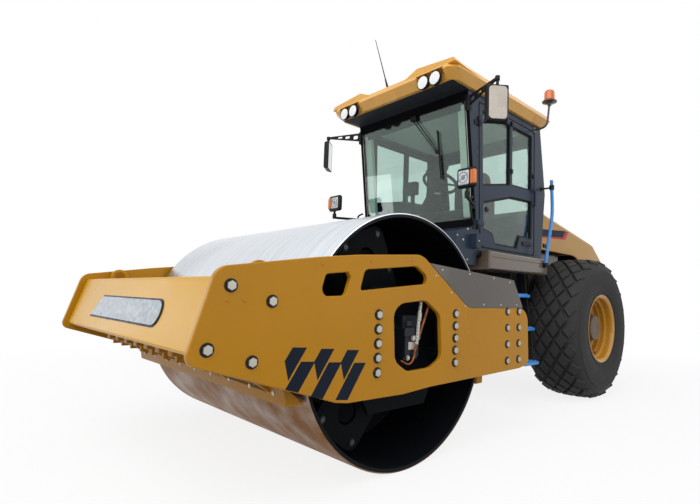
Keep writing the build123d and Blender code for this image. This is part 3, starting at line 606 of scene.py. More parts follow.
def float_glass(name, tint, clear=0.965):
    """Tinted safety glass, thin enough to see through, with a pale sheen that grows to its edges."""
    material, tree, shader = new_material(name, Metallic=1.0, Roughness=0.02)
    point = surface_point(tree)
    film = cloud(tree, point, 300)
    shaded(tree, shader, film, tint, 0.95, 1.1)
    through = add_node(tree, "ShaderNodeBsdfTransparent")
    tree.links.new(between(tree, film, rgba(tint, 0.96), rgba(tint, 1.02)), through.inputs["Color"])
    facing = add_node(tree, "ShaderNodeLayerWeight", {"Blend": 0.35}).outputs["Facing"]
    share = spread(tree, facing, 0.0, 1.0, 1.0 - clear, 0.20)
    mix = add_node(tree, "ShaderNodeMixShader", links={0: share, 1: through.outputs[0]})
    tree.links.new(shader.outputs[0], mix.inputs[2])
    tree.links.new(mix.outputs[0], tree.nodes["Material Output"].inputs["Surface"])
    return material


def lens(name, colour, roughness=0.12):
    """Moulded acrylic lamp lens with a fluted inside."""
    material, tree, shader = new_material(name, IOR=1.49, Coat_Weight=0.25)
    point = surface_point(tree)
    flutes = waves(tree, point, 60, "Y")
    shaded(tree, shader, flutes, colour, 0.85, 1.2)
    uneven(tree, shader, flutes, roughness, roughness + 0.08, (0.0, 1.0))
    return material


def woven_cloth(name, colour):
    """Seat cloth: a plain weave of 2 mm yarns, drawn at 5 mm so that it shows."""
    material, tree, shader = new_material(name, Sheen_Weight=0.35, Roughness=0.9)
    point = surface_point(tree)
    warp, weft = (waves(tree, point, 30, direction) for direction in "XY")
    weave = combine(tree, "MAXIMUM", warp, weft)
    shaded(tree, shader, weave, colour, 0.6, 1.3)
    relief(tree, shader, weave, 0.8, 0.6)
    return material


def braided(name, colour, pitch=5.0):
    """Braided or ribbed sleeve: fine diagonal ridges, drawn coarse enough to show."""
    material, tree, shader = new_material(name, IOR=1.5)
    point = surface_point(tree)
    weave = waves(tree, point, pitch * 6, "DIAGONAL")
    shaded(tree, shader, weave, colour, 0.6, 1.15)
    uneven(tree, shader, weave, 0.6, 0.45, (0.0, 1.0))
    relief(tree, shader, weave, 0.8, 0.6)
    return material


def drum_finish(name, bright):
    """Drum steel with its painted reflection of the ground and painted inside, in the panel's colours."""
    colours = bpy.context.scene.roller_colours
    return rolled_steel(name, bright, tuple(colours.film), tuple(colours.charcoal))


FINISHES = {        # finish: how it is made, its colour, other settings
    "frame_enamel": (enamel, "frame", {"roughness": 0.3, "coat": 0.04, "dust": 0.05, "gloss": 0.12}),
    # painted light: the front beam's enamel is a lighter, yellower copy of the frame enamel that stands for
    # the strong light on the beam's face
    "beam_enamel": (enamel, "beam", {"roughness": 0.3, "coat": 0.06, "dust": 0.0, "gloss": 0.1}),
    "roof_enamel": (enamel, "roof", {"roughness": 0.24, "coat": 0.4, "dust": 0.0, "gloss": 0.3}),
    "hood_enamel": (enamel, "hood", {"roughness": 0.38, "coat": 0.15, "dust": 0.0}),
    "rim_enamel": (enamel, "rim", {"roughness": 0.32, "coat": 0.3, "dust": 0.15}),
    "cab_enamel": (enamel, "cab", {"roughness": 0.3, "coat": 0.12, "dust": 0.0, "gloss": 0.12}),
    "chassis_enamel": (enamel, "charcoal", {"roughness": 0.45}),
    "shadow_enamel": (enamel, "charcoal", {"roughness": 0.6, "dust": 0.0, "gloss": 0.05}),
    "panel_enamel": (enamel, "panel", {"roughness": 0.25, "coat": 0.5, "dust": 0.1}),
    "box_enamel": (enamel, "box", {"roughness": 0.25, "coat": 0.6, "dust": 0.0}),
    "rail_enamel": (enamel, "rail", {"roughness": 0.3, "coat": 0.4, "dust": 0.0}),
    "hub_enamel": (enamel, "hub", {"roughness": 0.45}),
    "grille_enamel": (enamel, "grille", {"roughness": 0.35, "dust": 0.0}),
    "rolled_steel": (drum_finish, "steel", {}),
    "tyre_rubber": (moulded_rubber, "rubber", {"tread": (0.56, 0.70)}),
    "seal_rubber": (moulded_rubber, "black", {}),
    "black_plastic": (moulded_plastic, "black", {}),
    "shadow_plastic": (moulded_plastic, "black", {"roughness": 0.8, "gloss": 0.05}),
    "grey_plastic": (moulded_plastic, "grey", {"roughness": 0.25, "gloss": 0.5}),
    "lining_plastic": (moulded_plastic, "lining", {"roughness": 0.6}),
    "pale_lining": (moulded_plastic, "pale", {"roughness": 0.6}),
    "stripe_film": (moulded_plastic, "stripe", {"roughness": 0.4, "gloss": 0.08}),
    "red_film": (moulded_plastic, "red", {"roughness": 0.35}),
    "screen_glass": (moulded_plastic, "charcoal", {"roughness": 0.12, "gloss": 0.5}),
    "zinc_plate": (bare_metal, "zinc", {"roughness": 0.38}),
    # painted shade: darkened steel for the bolts inside the drum, where shade falls
    "black_steel": (bare_metal, "bolt_shade_grey", {"roughness": 0.45}),
    "brushed_aluminium": (bare_metal, "aluminium", {"roughness": 0.3}),
    "hard_chrome": (bare_metal, "chrome", {"roughness": 0.08}),
    "silvered_glass": (bare_metal, "chrome", {"roughness": 0.02}),
    "white_braid": (braided, "white", {}),
    "orange_conduit": (braided, "orange", {"pitch": 9.0}),
    "engine_casting": (cast_iron, "casting", {}),
    "tinted_glass": (float_glass, "glass", {}),
    "clear_lens": (lens, "lamp", {}),
    "lamp_glass": (lens, "reflector", {"roughness": 0.08}),
    "amber_lens": (lens, "amber", {}),
    "red_lens": (lens, "red", {}),
    "seat_cloth": (woven_cloth, "cloth", {}),
}


def finish(name):
    """The named material, made when it is first asked for."""
    label = name + "_finish"
    if label not in bpy.data.materials:
        make, colour, settings = FINISHES[name]
        make(label, tuple(getattr(bpy.context.scene.roller_colours, colour)), **settings)
    return bpy.data.materials[label]


NODE_FINISH = {     # finish: nodes that have it, dressed copies or not
    "frame_enamel": ("side_plates", "front_beam", "rear_beam", "lifting_eyes", "scraper_front",
                     "scraper_rear", "counterweight"),
    "grille_enamel": ("hood_grille",),
    "white_braid": ("drum_hoses",),
    "roof_enamel": ("roof",),
    "hood_enamel": ("hood",),
    "rim_enamel": ("rim_left", "rim_right"),
    "hub_enamel": ("hub_cap_left", "hub_cap_right"),
    "rolled_steel": ("drum",),
    "tyre_rubber": ("tyre_left", "tyre_right"),
    "chassis_enamel": ("drum_mounts", "yoke", "steer_barrel_left", "steer_barrel_right", "chassis",
                       "rear_axle", "tow_hitch", "deck", "ladder_frames"),
    "panel_enamel": ("cover_panels", "bay_panels"),
    "box_enamel": ("step_boxes",),
    "cab_enamel": ("front_console", "cab_frame", "door_left", "door_right"),
    "rail_enamel": ("ladder_steps", "handrails"),
    "engine_casting": ("engine_block", "drum_motors"),
    "hard_chrome": ("steer_rod_left", "steer_rod_right"),
    "tinted_glass": ("windshield", "rear_glass", "door_glass_left", "door_glass_right"),
    "black_plastic": ("headlamps", "mirrors", "seat_base", "steering_column", "steering_wheel",
                      "door_hinges", "aerial", "wipers"),
    "clear_lens": ("roof_lamps",),
    "amber_lens": ("beacon",),
    "red_lens": ("tail_lamps",),
    "seat_cloth": ("seat_cushions",),
}


# ---- sizes and colours that a user may change ------------------------------------
def swatch(name, code, description):
    """Colour property from an sRGB hex value."""
    return FloatVectorProperty(
        name=name, description=description, subtype="COLOR", size=3, min=0.0, max=1.0,
        default=linear(code),
    )


class RollerColours(bpy.types.PropertyGroup):
    frame: swatch("Frame", "#B47D14", "Enamel of the plates and beams around the drum")
    # painted light: a lighter copy of the frame yellow, standing for the light on the beam's face
    beam: swatch("Front beam", "#C8951C", "Enamel of the front beam")
    roof: swatch("Roof", "#E3A84A", "Enamel of the cab roof")
    hood: swatch("Hood", "#B48743", "Enamel of the engine hood")
    rim: swatch("Rims", "#BC8420", "Enamel of the wheel rims")
    cab: swatch("Cab", "#2A3545", "Enamel of the cab and its doors")
    charcoal: swatch("Chassis", "#0E1014", "Enamel of the chassis and the drum's inside")
    panel: swatch("Panels", "#4A443E", "Enamel of the cover panels")
    box: swatch("Step boxes", "#665B50", "Enamel of the boxes under the doors")
    rail: swatch("Rails", "#3686D0", "Enamel of the handrails and steps")
    hub: swatch("Hub caps", "#5E4F40", "Enamel of the wheel hubs")
    grille: swatch("Louvres", "#8D8F8E", "Enamel of the louvres behind the hood")
    steel: swatch("Drum steel", "#DDE2E8", "Ground steel of the drum shell")
    # painted reflection: colour of the brownish ground reflected in the lower drum, not a layer on the steel
    film: swatch("Drum film", "#76502A", "Brown film on the lower part of the drum")
    rubber: swatch("Rubber", "#3A3A3A", "Tyre rubber")
    black: swatch("Black parts", "#0B0C0E", "Plastic housings and rubber seals")
    grey: swatch("Mirror shells", "#BDB4A9", "Plastic housings of the mirrors")
    # this grey is also the painted shade of the sheet under the roof
    lining: swatch("Cab lining", "#2A2E33", "Plastic lining inside the cab")
    pale: swatch("Pillar lining", "#D2DCD2", "Pale lining of the windshield pillars")
    stripe: swatch("Stripes", "#101A28", "Film of the stripes and bands")
    zinc: swatch("Zinc", "#A9A79F", "Zinc-plated bolts and washers")
    # painted shade: the bolts inside the drum are darkened to stand for the shade there
    bolt_shade_grey: swatch("Black oxide", "#4A4A4C", "Blackened steel of the drum's inner bolts")
    aluminium: swatch("Aluminium", "#868D93", "Brushed plate on the front beam")
    chrome: swatch("Chrome", "#DADDE0", "Chromed rods and mirrors")
    casting: swatch("Castings", "#1B1F26", "Engine and motor castings")
    glass: swatch("Glass", "#E9F2EF", "Tint of the cab's glass")
    lamp: swatch("Lamps", "#F4F6F8", "Clear lamp lenses")
    reflector: swatch("Headlamps", "#C4C8CA", "Glass of the headlamps over their reflectors")
    amber: swatch("Amber", "#CE6614", "Amber lenses of the beacon and turn signals")
    red: swatch("Red", "#B0181C", "Red lenses and the red stripe")
    cloth: swatch("Seat cloth", "#1D1F23", "Cloth of the seat")
    white: swatch("White sleeve", "#C9C8C2", "Braided sleeve of the pressure hose")
    orange: swatch("Orange conduit", "#8F4A1C", "Ribbed conduit of the sensor cables")


class RollerStage(bpy.types.PropertyGroup):
    eye: FloatVectorProperty(
        name="Camera", description="Place of the camera", subtype="TRANSLATION", unit="LENGTH",
        default=(3.704, 2.975, 1.017),
    )
    heading: FloatProperty(
        name="Heading", description="Direction of view around the upright", subtype="ANGLE",
        unit="ROTATION", default=math.radians(224.64),
    )
    pitch: FloatProperty(
        name="Pitch", description="Upward tilt of the view", subtype="ANGLE", unit="ROTATION",
        default=math.radians(4.34),
    )
    roll: FloatProperty(
        name="Roll", description="Turn of the view about its own line", subtype="ANGLE",
        unit="ROTATION", default=math.radians(1.60),
    )
    lens: FloatProperty(
        name="Lens", description="Focal length on a 36 mm sensor", subtype="DISTANCE_CAMERA",
        unit="CAMERA", default=23.84,
    )
    floor: FloatProperty(
        name="Floor", description="Half width of the floor", subtype="DISTANCE", unit="LENGTH",
        default=60.0,
    )
    key: FloatProperty(
        name="Key light", description="Power of the main lamp", subtype="POWER", unit="POWER",
        default=900.0,
    )
    fill: FloatProperty(
        name="Fill light", description="Power of the side lamp", subtype="POWER", unit="POWER",
        default=260.0,
    )
    low: FloatProperty(
        name="Low light", description="Power of the lamp that shines along the front beam",
        subtype="POWER", unit="POWER", default=24.0,
    )
    shadow: FloatProperty(
        name="Floor shadow", description="Share of the floor's own shading that the eye sees",
        default=0.16, min=0.0, max=1.0,
    )
    sky: FloatProperty(
        name="Sky", description="Strength of the light from all round", default=0.55, min=0.0,
    )


# ---- stage -----------------------------------------------------------------------
SENSOR_WIDTH = 36.0         # mm
FRAME_SHIFT = (-0.0658, 0.0133)
VIEW_DEPTH = 300.0
LAMPS = (       # name, place, target, size, setting that holds its power
    ("key_lamp", (7.5, 3.0, 8.5), (0.6, 0.0, 1.0), 11.0, "key"),
    ("low_lamp", (5.2, -6.0, 2.0), (2.9, 0.5, 0.9), 1.8, "low"),
    ("fill_lamp", (-3.0, 9.0, 4.0), (0.0, 0.0, 1.2), 9.0, "fill"),
)
SHADOW_REACH = (3.5, 7.0)       # the floor's shading fades out between these distances


def white_to_view(tree, lit, plain):
    """One socket for what lights the object, another for what the eye, metal and glass see."""
    path = add_node(tree, "ShaderNodeLightPath").outputs
    seen = path["Is Camera Ray"]
    for ray in ("Is Glossy Ray", "Is Transmission Ray"):
        seen = combine(tree, "MAXIMUM", seen, path[ray])
    return add_node(tree, "ShaderNodeMixShader", links={0: seen, 1: lit, 2: plain}).outputs[0]


def area_lamp(name, place, target, size, power):
    """Soft rectangular lamp aimed at a point."""
    lamp = bpy.data.lights.new(name, "AREA")
    lamp.energy = power
    lamp.size = size
    light = bpy.data.objects.new(name, lamp)
    light.location = place
    light.rotation_euler = (Vector(place) - Vector(target)).to_track_quat("Z", "Y").to_euler()
    bpy.context.scene.collection.objects.link(light)


class ROLLER_OT_stage(bpy.types.Operator):
    """Sets up the floor, the soft light and the camera"""

    bl_idname = "roller.stage"
    bl_label = "Stage"

    def execute(self, context):
        scene = context.scene
        stage = scene.roller_stage
        scene.view_settings.view_transform = "Standard"
        self.camera(scene, stage)
        self.world(scene, stage)
        self.floor(stage)
        for name, place, target, size, power in LAMPS:
            area_lamp(name, place, target, size, getattr(stage, power))
        return {"FINISHED"}

    def camera(self, scene, stage):
        """Camera from its place, heading, pitch and roll."""
        level = Vector((math.cos(stage.heading), math.sin(stage.heading), 0.0))
        ahead = level * math.cos(stage.pitch) + Vector((0, 0, math.sin(stage.pitch)))
        right = ahead.cross(Vector((0, 0, 1))).normalized()
        up = right.cross(ahead)
        turned_right = right * math.cos(stage.roll) + up * math.sin(stage.roll)
        turned_up = up * math.cos(stage.roll) - right * math.sin(stage.roll)
        lens = bpy.data.cameras.new("camera")
        lens.sensor_fit = "HORIZONTAL"
        lens.sensor_width = SENSOR_WIDTH
        lens.lens = stage.lens
        lens.shift_x, lens.shift_y = FRAME_SHIFT
        lens.clip_end = VIEW_DEPTH
        camera = bpy.data.objects.new("camera", lens)
        camera.matrix_world = Matrix((
            (turned_right.x, turned_up.x, -ahead.x, stage.eye[0]),
            (turned_right.y, turned_up.y, -ahead.y, stage.eye[1]),
            (turned_right.z, turned_up.z, -ahead.z, stage.eye[2]),
            (0.0, 0.0, 0.0, 1.0),
        ))
        scene.collection.objects.link(camera)
        scene.camera = camera

    def world(self, scene, stage):
        """Even sky light; the eye, metal and glass see plain white."""
        world = bpy.data.worlds.new("sky")
        world.use_nodes = True
        tree = world.node_tree
        tree.nodes.clear()
        height = add_node(
            tree,
            "ShaderNodeSeparateXYZ",
            links={"Vector": add_node(tree, "ShaderNodeTexCoord").outputs["Generated"]},
        ).outputs["Z"]
        lit = add_node(
            tree,
            "ShaderNodeBackground",
            {"Strength": stage.sky},
            {"Color": between(tree, spread(tree, height, -0.2, 0.6, 0.0, 1.0),
                              (0.55, 0.55, 0.55, 1), (0.95, 0.98, 1.0, 1))},
        ).outputs[0]
        plain = add_node(
            tree, "ShaderNodeBackground", {"Color": (1, 1, 1, 1), "Strength": 1.0}
        ).outputs[0]
        output = add_node(tree, "ShaderNodeOutputWorld")
        tree.links.new(white_to_view(tree, lit, plain), output.inputs["Surface"])
        scene.world = world

    def floor(self, stage):
        """Pale matt floor that fades into the white around it."""
        deselect()
        bpy.ops.mesh.primitive_circle_add(vertices=64, radius=stage.floor, fill_type="NGON")
        floor = placed("floor")
        material, tree, shader = new_material("floor_paper", Roughness=0.9)
        shader.inputs["Base Color"].default_value = (0.45, 0.45, 0.45, 1)
        paper = add_node(tree, "ShaderNodeBsdfDiffuse", {"Color": (0.9, 0.9, 0.9, 1)})
        glow = add_node(tree, "ShaderNodeEmission", {"Color": (1, 1, 1, 1), "Strength": 1.0})
        reach = add_node(
            tree, "ShaderNodeVectorMath", {"operation": "LENGTH"}, {0: surface_point(tree)}
        ).outputs["Value"]
        share = spread(tree, reach, *SHADOW_REACH, stage.shadow, 0.0)
        pale = add_node(
            tree, "ShaderNodeMixShader", links={0: share, 1: glow.outputs[0], 2: paper.outputs[0]}
        ).outputs[0]
        surface = white_to_view(tree, shader.outputs[0], pale)
        tree.links.new(surface, tree.nodes["Material Output"].inputs["Surface"])
        floor.data.materials.append(material)


# ---- finish of the frame's own nodes ----------------------------------------------
class ROLLER_OT_finish_nodes(bpy.types.Operator):
    """Gives every node of the frame its finish"""

    bl_idname = "roller.finish_nodes"
    bl_label = "Finish Nodes"

    def execute(self, context):
        for name, nodes in NODE_FINISH.items():
            for node in nodes:
                NODES[node].data.materials.clear()
                NODES[node].data.materials.append(finish(name))
        return {"FINISHED"}


# ---- fixings ---------------------------------------------------------------------
def aimed(place, direction):
    """Matrix that puts a pattern made along +Y at a place, facing a direction."""
    turn = Vector((0, 1, 0)).rotation_difference(Vector(direction))
    return Matrix.Translation(place) @ turn.to_matrix().to_4x4()


HEAD_SHARE = 0.34       # height of a bolt head by its width
WASHER = ((0.3, 0.0), (0.80, 0.0), (0.80, 0.06), (0.76, 0.11), (0.3, 0.11))        # by that width
BUTTON = ((0.0, 0.0), (1.0, 0.0), (0.92, 0.35), (0.6, 0.6), (0.0, 0.65))           # by its radius


def fixings(name, body, size, places, direction=(0, 1, 0), both_sides=True, metal="zinc_plate"):
    """Hexagon bolts of this width across flats, each on a black washer that paints a thin ring of shade
    around its head.
    """
    spots = [aimed(place, direction) for place in places]
    ring = [(r * size, d * size) for r, d in WASHER]
    rings = turned(name + "_washers", ring, (0, 0, 0), steps=20)
    heads = rod(name + "_heads", (0, 0, 0), (0, HEAD_SHARE * size, 0), size / math.sqrt(3), 6)
    bevelled(heads, 0.05 * size, 2)
    # painted shade: the washers are black so that each head sits in a thin dark ring of shade
    for piece, material in ((rings, "black_plastic"), (heads, metal)):
        piece = copies(piece.name, piece, spots)
        dress(mirrored(piece) if both_sides else piece, body, material)


def screws(name, body, radius, places, metal="zinc_plate"):
    """Button-head screws that face outward on both sides."""
    head = [(r * radius, d * radius) for r, d in BUTTON]
    piece = smooth(turned(name, head, (0, 0, 0), steps=14), 40)
    dress(mirrored(copies(name, piece, places)), body, metal)


def around(count):
    """Angles of evenly spaced places around a circle."""
    return [math.tau * step / count for step in range(count)]


def column(x, low, high, count, y):
    """Evenly spaced places on an upright line."""
    return [(x, y, low + (high - low) * step / (count - 1)) for step in range(count)]


def line(start, end, count):
    """Evenly spaced places between two points."""
    start, end = Vector(start), Vector(end)
    return [start.lerp(end, step / (count - 1)) for step in range(count)]


def seal(name, outline, depth, radius, corner=0.04, axis="Y"):
    """Rubber bead that follows a closed outline."""
    loop = [Vector(across(axis, depth, u, v)) for u, v in outline]
    middle = (loop[0] + loop[-1]) / 2
    return tube(name, [middle, *loop, middle], radius, corner, 8)


def arc(centre, radius, start, end, count):
    """Points of an arc in a plane, angles in degrees."""
    turns = (math.radians(start + (end - start) * step / (count - 1)) for step in range(count))
    return [(centre[0] + radius * math.cos(t), centre[1] + radius * math.sin(t)) for t in turns]


def flipped(piece):
    """Moves a piece to the machine's other side, as its mirror image."""
    piece.data.transform(Matrix.Scale(-1, 4, (0, 1, 0)))
    piece.data.flip_normals()
    return piece


def other_side(piece, name):
    """Mirror image of a piece on the machine's other side, as a piece of its own."""
    twin = duplicate(piece)
    twin.name = name
    return flipped(twin)


# ---- front frame -----------------------------------------------------------------
PLATE_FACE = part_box("side_plates")[1].y
BOLT_SIZE, SCREW_RADIUS = 0.037, 0.007
BEAM_BOLTS = ((2.819, 1.044), (2.625, 0.981), (2.904, 0.785), (2.708, 0.722))       # x, z
BOLT_COLUMNS = (        # x, lowest, highest, count
    (1.977, 0.609, 0.917, 5), (1.298, 0.609, 0.917, 5), (0.670, 0.571, 0.929, 4),
    (0.510, 0.571, 0.929, 4),
)
PLATE_SCREWS = ((2.833, 0.981), (2.755, 0.982), (2.362, 1.163), (2.045, 1.203), (1.723, 1.230))
COVER_SCREWS = (
    (1.500, 1.150), (1.345, 1.050), (1.195, 0.965), (0.980, 0.978), (0.760, 0.978), (0.540, 0.978),
    (1.440, 1.190), (1.150, 1.180), (0.860, 1.165), (0.640, 1.145),
)
PLATE_OUTLINE = (
    (2.992, 0.733), (2.880, 1.120), (2.380, 1.198), (2.130, 1.229), (1.630, 1.271), (1.155, 0.954),
    (0.443, 0.955), (0.366, 0.891), (0.352, 0.520), (0.490, 0.500), (1.540, 0.482), (1.770, 0.468),
    (2.170, 0.475), (2.250, 0.488), (2.400, 0.539),
)
OPENINGS = (        # corners, radius
    (((2.336, 1.118), (2.196, 1.134), (2.178, 1.108), (2.208, 1.014), (2.334, 1.008),
      (2.358, 1.040)), 0.016),
    (((2.082, 1.154), (1.675, 1.198), (1.585, 1.145), (1.585, 1.097), (2.114, 1.041)), 0.022),
    (((1.804, 0.978), (1.588, 0.999), (1.450, 0.910), (1.430, 0.644), (1.533, 0.595),
      (1.737, 0.590), (1.841, 0.657), (1.859, 0.928)), 0.034),
)
STRIPE_STEP, STRIPE_SLANT = Vector((-0.161, -0.0155)), 0.66
STRIPE_GAP = Vector((-0.010, -0.003))
STRIPE_UPPER = ((2.509, 0.773), (2.431, 0.768), (2.471, 0.708), (2.525, 0.625), (2.548, 0.714))
STRIPE_LOWER = ((2.471, 0.708), (2.392, 0.702))
STRIPE_DROPS = ((0.133, 0.118), (0.166, 0.152), (0.175, 0.171))     # rear and front edge
BEAM_LEAN = math.atan2(0.102, 0.328)
BADGE_PLACE = (2.9065, 0.02, 0.905)
CLAMP_SIDES = (-0.94, -0.74, -0.54, -0.34, -0.14, 0.06, 0.26)
STRIP_SPANS = ((-1.035, -0.36), (-0.35, 0.33), (0.34, 1.035))       # the rubbing strip's lengths


class ROLLER_OT_side_plates(bpy.types.Operator):
    """Side plates with bolts, screws and slanted stripes, and the cover panels"""

    bl_idname = "roller.side_plates"
    bl_label = "Side Plates"

    def execute(self, context):
        plates = mirrored(self.plate())
        dress(plates, "front_frame", "frame_enamel", stands_for=("side_plates",))
        dress_node("cover_panels", 0.003, "front_frame", "panel_enamel")
        bolts = [(x, PLATE_FACE, z) for x, z in BEAM_BOLTS]
        for x, low, high, count in BOLT_COLUMNS:
            bolts += column(x, low, high, count, PLATE_FACE)
        fixings("plate_bolts", "front_frame", BOLT_SIZE, bolts)
        spots = [(x, PLATE_FACE, z) for x, z in PLATE_SCREWS]
        screws("plate_screws", "front_frame", SCREW_RADIUS, spots, "frame_enamel")
        spots = [(x, PLATE_FACE, z) for x, z in COVER_SCREWS]
        screws("cover_screws", "front_frame", SCREW_RADIUS, spots)
        self.stripes()
        return {"FINISHED"}

    def plate(self):
        """One plate with rounded corners and its three rounded openings."""
        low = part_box("front_beam")[1].y
        piece = plate("side_plate", PLATE_OUTLINE, low, PLATE_FACE)
        round_corners(piece, "Y", 0.045, 6, 25)
        for outline, radius in OPENINGS:
            opening = plate("opening", outline, low - 0.05, PLATE_FACE + 0.05)
            cut(piece, round_corners(opening, "Y", radius, 6))
        return bevelled(piece, 0.006, 3, 35)

    def stripes(self):
        """Three pairs of slanted stripes, each a tapering piece over a slanted bar."""
        bars = []
        for step, drops in enumerate(STRIPE_DROPS):
            shift = STRIPE_STEP * step
            upper = [Vector(point) + shift for point in STRIPE_UPPER]
            front, rear = (Vector(point) + shift + STRIPE_GAP for point in STRIPE_LOWER)
            lower = [front, rear] + [
                edge + Vector((STRIPE_SLANT * drop, -drop))
                for edge, drop in zip((rear, front), drops)
            ]
            for outline in (upper, lower):
                bars.append(plate("stripe", outline, PLATE_FACE - 0.001, PLATE_FACE + 0.0006))
        dress(mirrored(joined("slanted_stripes", bars)), "front_frame", "stripe_film")


class ROLLER_OT_front_beam(bpy.types.Operator):
    """Front beam with its bare plate, rear beam, lifting eyes and scraper bars"""

    bl_idname = "roller.front_beam"
    bl_label = "Front Beam"

    def execute(self, context):
        dress_node("front_beam", 0.016, "front_frame", "beam_enamel", segments=4)
        for node, width, material in (
            ("rear_beam", 0.010, "frame_enamel"), ("lifting_eyes", 0.006, "frame_enamel"),
            ("drum_mounts", 0.004, "shadow_enamel"),
        ):
            dress_node(node, width, "front_frame", material)
        self.badge()
        self.scrapers()
        return {"FINISHED"}

    def badge(self):
        """Bare plate with one slanted and one round end, over a dark edge."""
        on_face = Matrix.Translation(BADGE_PLACE) @ Matrix.Rotation(-BEAM_LEAN, 4, "Y")
        for name, grow, low, high, material in (
            ("badge_edge", 0.010, -0.006, 0.003, "stripe_film"),
            ("badge_plate", 0.0, -0.002, 0.007, "brushed_aluminium"),
        ):
            half = 0.062 + grow
            outline = [(-0.60 - 1.4 * grow, -half), (-0.47 - 0.6 * grow, half)]
            outline += arc((0.545, 0.0), half, 90, -90, 13)
            piece = plate(name, outline, low, high, "X")
            piece.data.transform(on_face)
            dress(piece, "front_frame", material)

    def scrapers(self):
        """Scraper bars with their clamps and bolts."""
        for node in ("scraper_front", "scraper_rear"):
            dress_node(node, 0.003, "front_frame", "frame_enamel")
        ends = block("scraper_end", (0.810, 0.950, 0.408), (0.890, 1.035, 0.480), 0.010)
        dress(mirrored(ends), "front_frame", "frame_enamel")
        low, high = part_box("scraper_front")
        # a gusset closes each end of the front bar
        section = ((low.x + 0.004, 0.480), (2.461, 0.480), (2.474, 0.560), (2.452, 0.560))
        gusset = bevelled(plate("scraper_gusset", section, high.y - 0.010, high.y - 0.001), 0.003)
        dress(mirrored(gusset), "front_frame", "frame_enamel")
        clamps = []
        for y in CLAMP_SIDES:
            clamps.append(block("clamp", (2.66, y, 0.655), (2.735, y + 0.07, 0.715), 0.006))
            clamps.append(box("clamp_foot", (2.60, y + 0.02, 0.62), (2.70, y + 0.05, 0.66)))
        dress(joined("scraper_clamps", clamps), "front_frame", "frame_enamel")
        under = [(2.70, y + 0.035, 0.655) for y in CLAMP_SIDES[::2]]
        fixings("clamp_bolts", "front_frame", 0.022, under, (0, 0, -1), both_sides=False)
        along = line((2.466, low.y + 0.10, 0.53), (2.466, high.y - 0.10, 0.53), 9)
        fixings("blade_bolts", "front_frame", 0.024, along, (1, 0, -0.16), both_sides=False)
        strips = [
            box("strip", (2.395, start, 0.4925), (2.452, end, 0.502)) for start, end in STRIP_SPANS
        ]
        dress(joined("scraper_strips", strips), "front_frame", "seal_rubber")


# ---- drum --------------------------------------------------------------------------
DRUM_LOW, DRUM_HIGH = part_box("drum")
DRUM_CENTRE = (DRUM_LOW + DRUM_HIGH) / 2
DRUM_RADIUS = (DRUM_HIGH.z - DRUM_LOW.z) / 2
DRUM_EDGE = DRUM_HIGH.y
SHELL_WALL = 0.028
HEAD_FACE, BOSS_FACE = 0.500, 0.840
HUB_BORE, HUB_RING = 0.1202, 0.180
ARM_FACE, ARM_THICK, ARM_HALF, ARM_REACH = 0.885, 0.022, 0.190, 0.690
ARM_TURNS = (-53, 67, 187)         # degrees


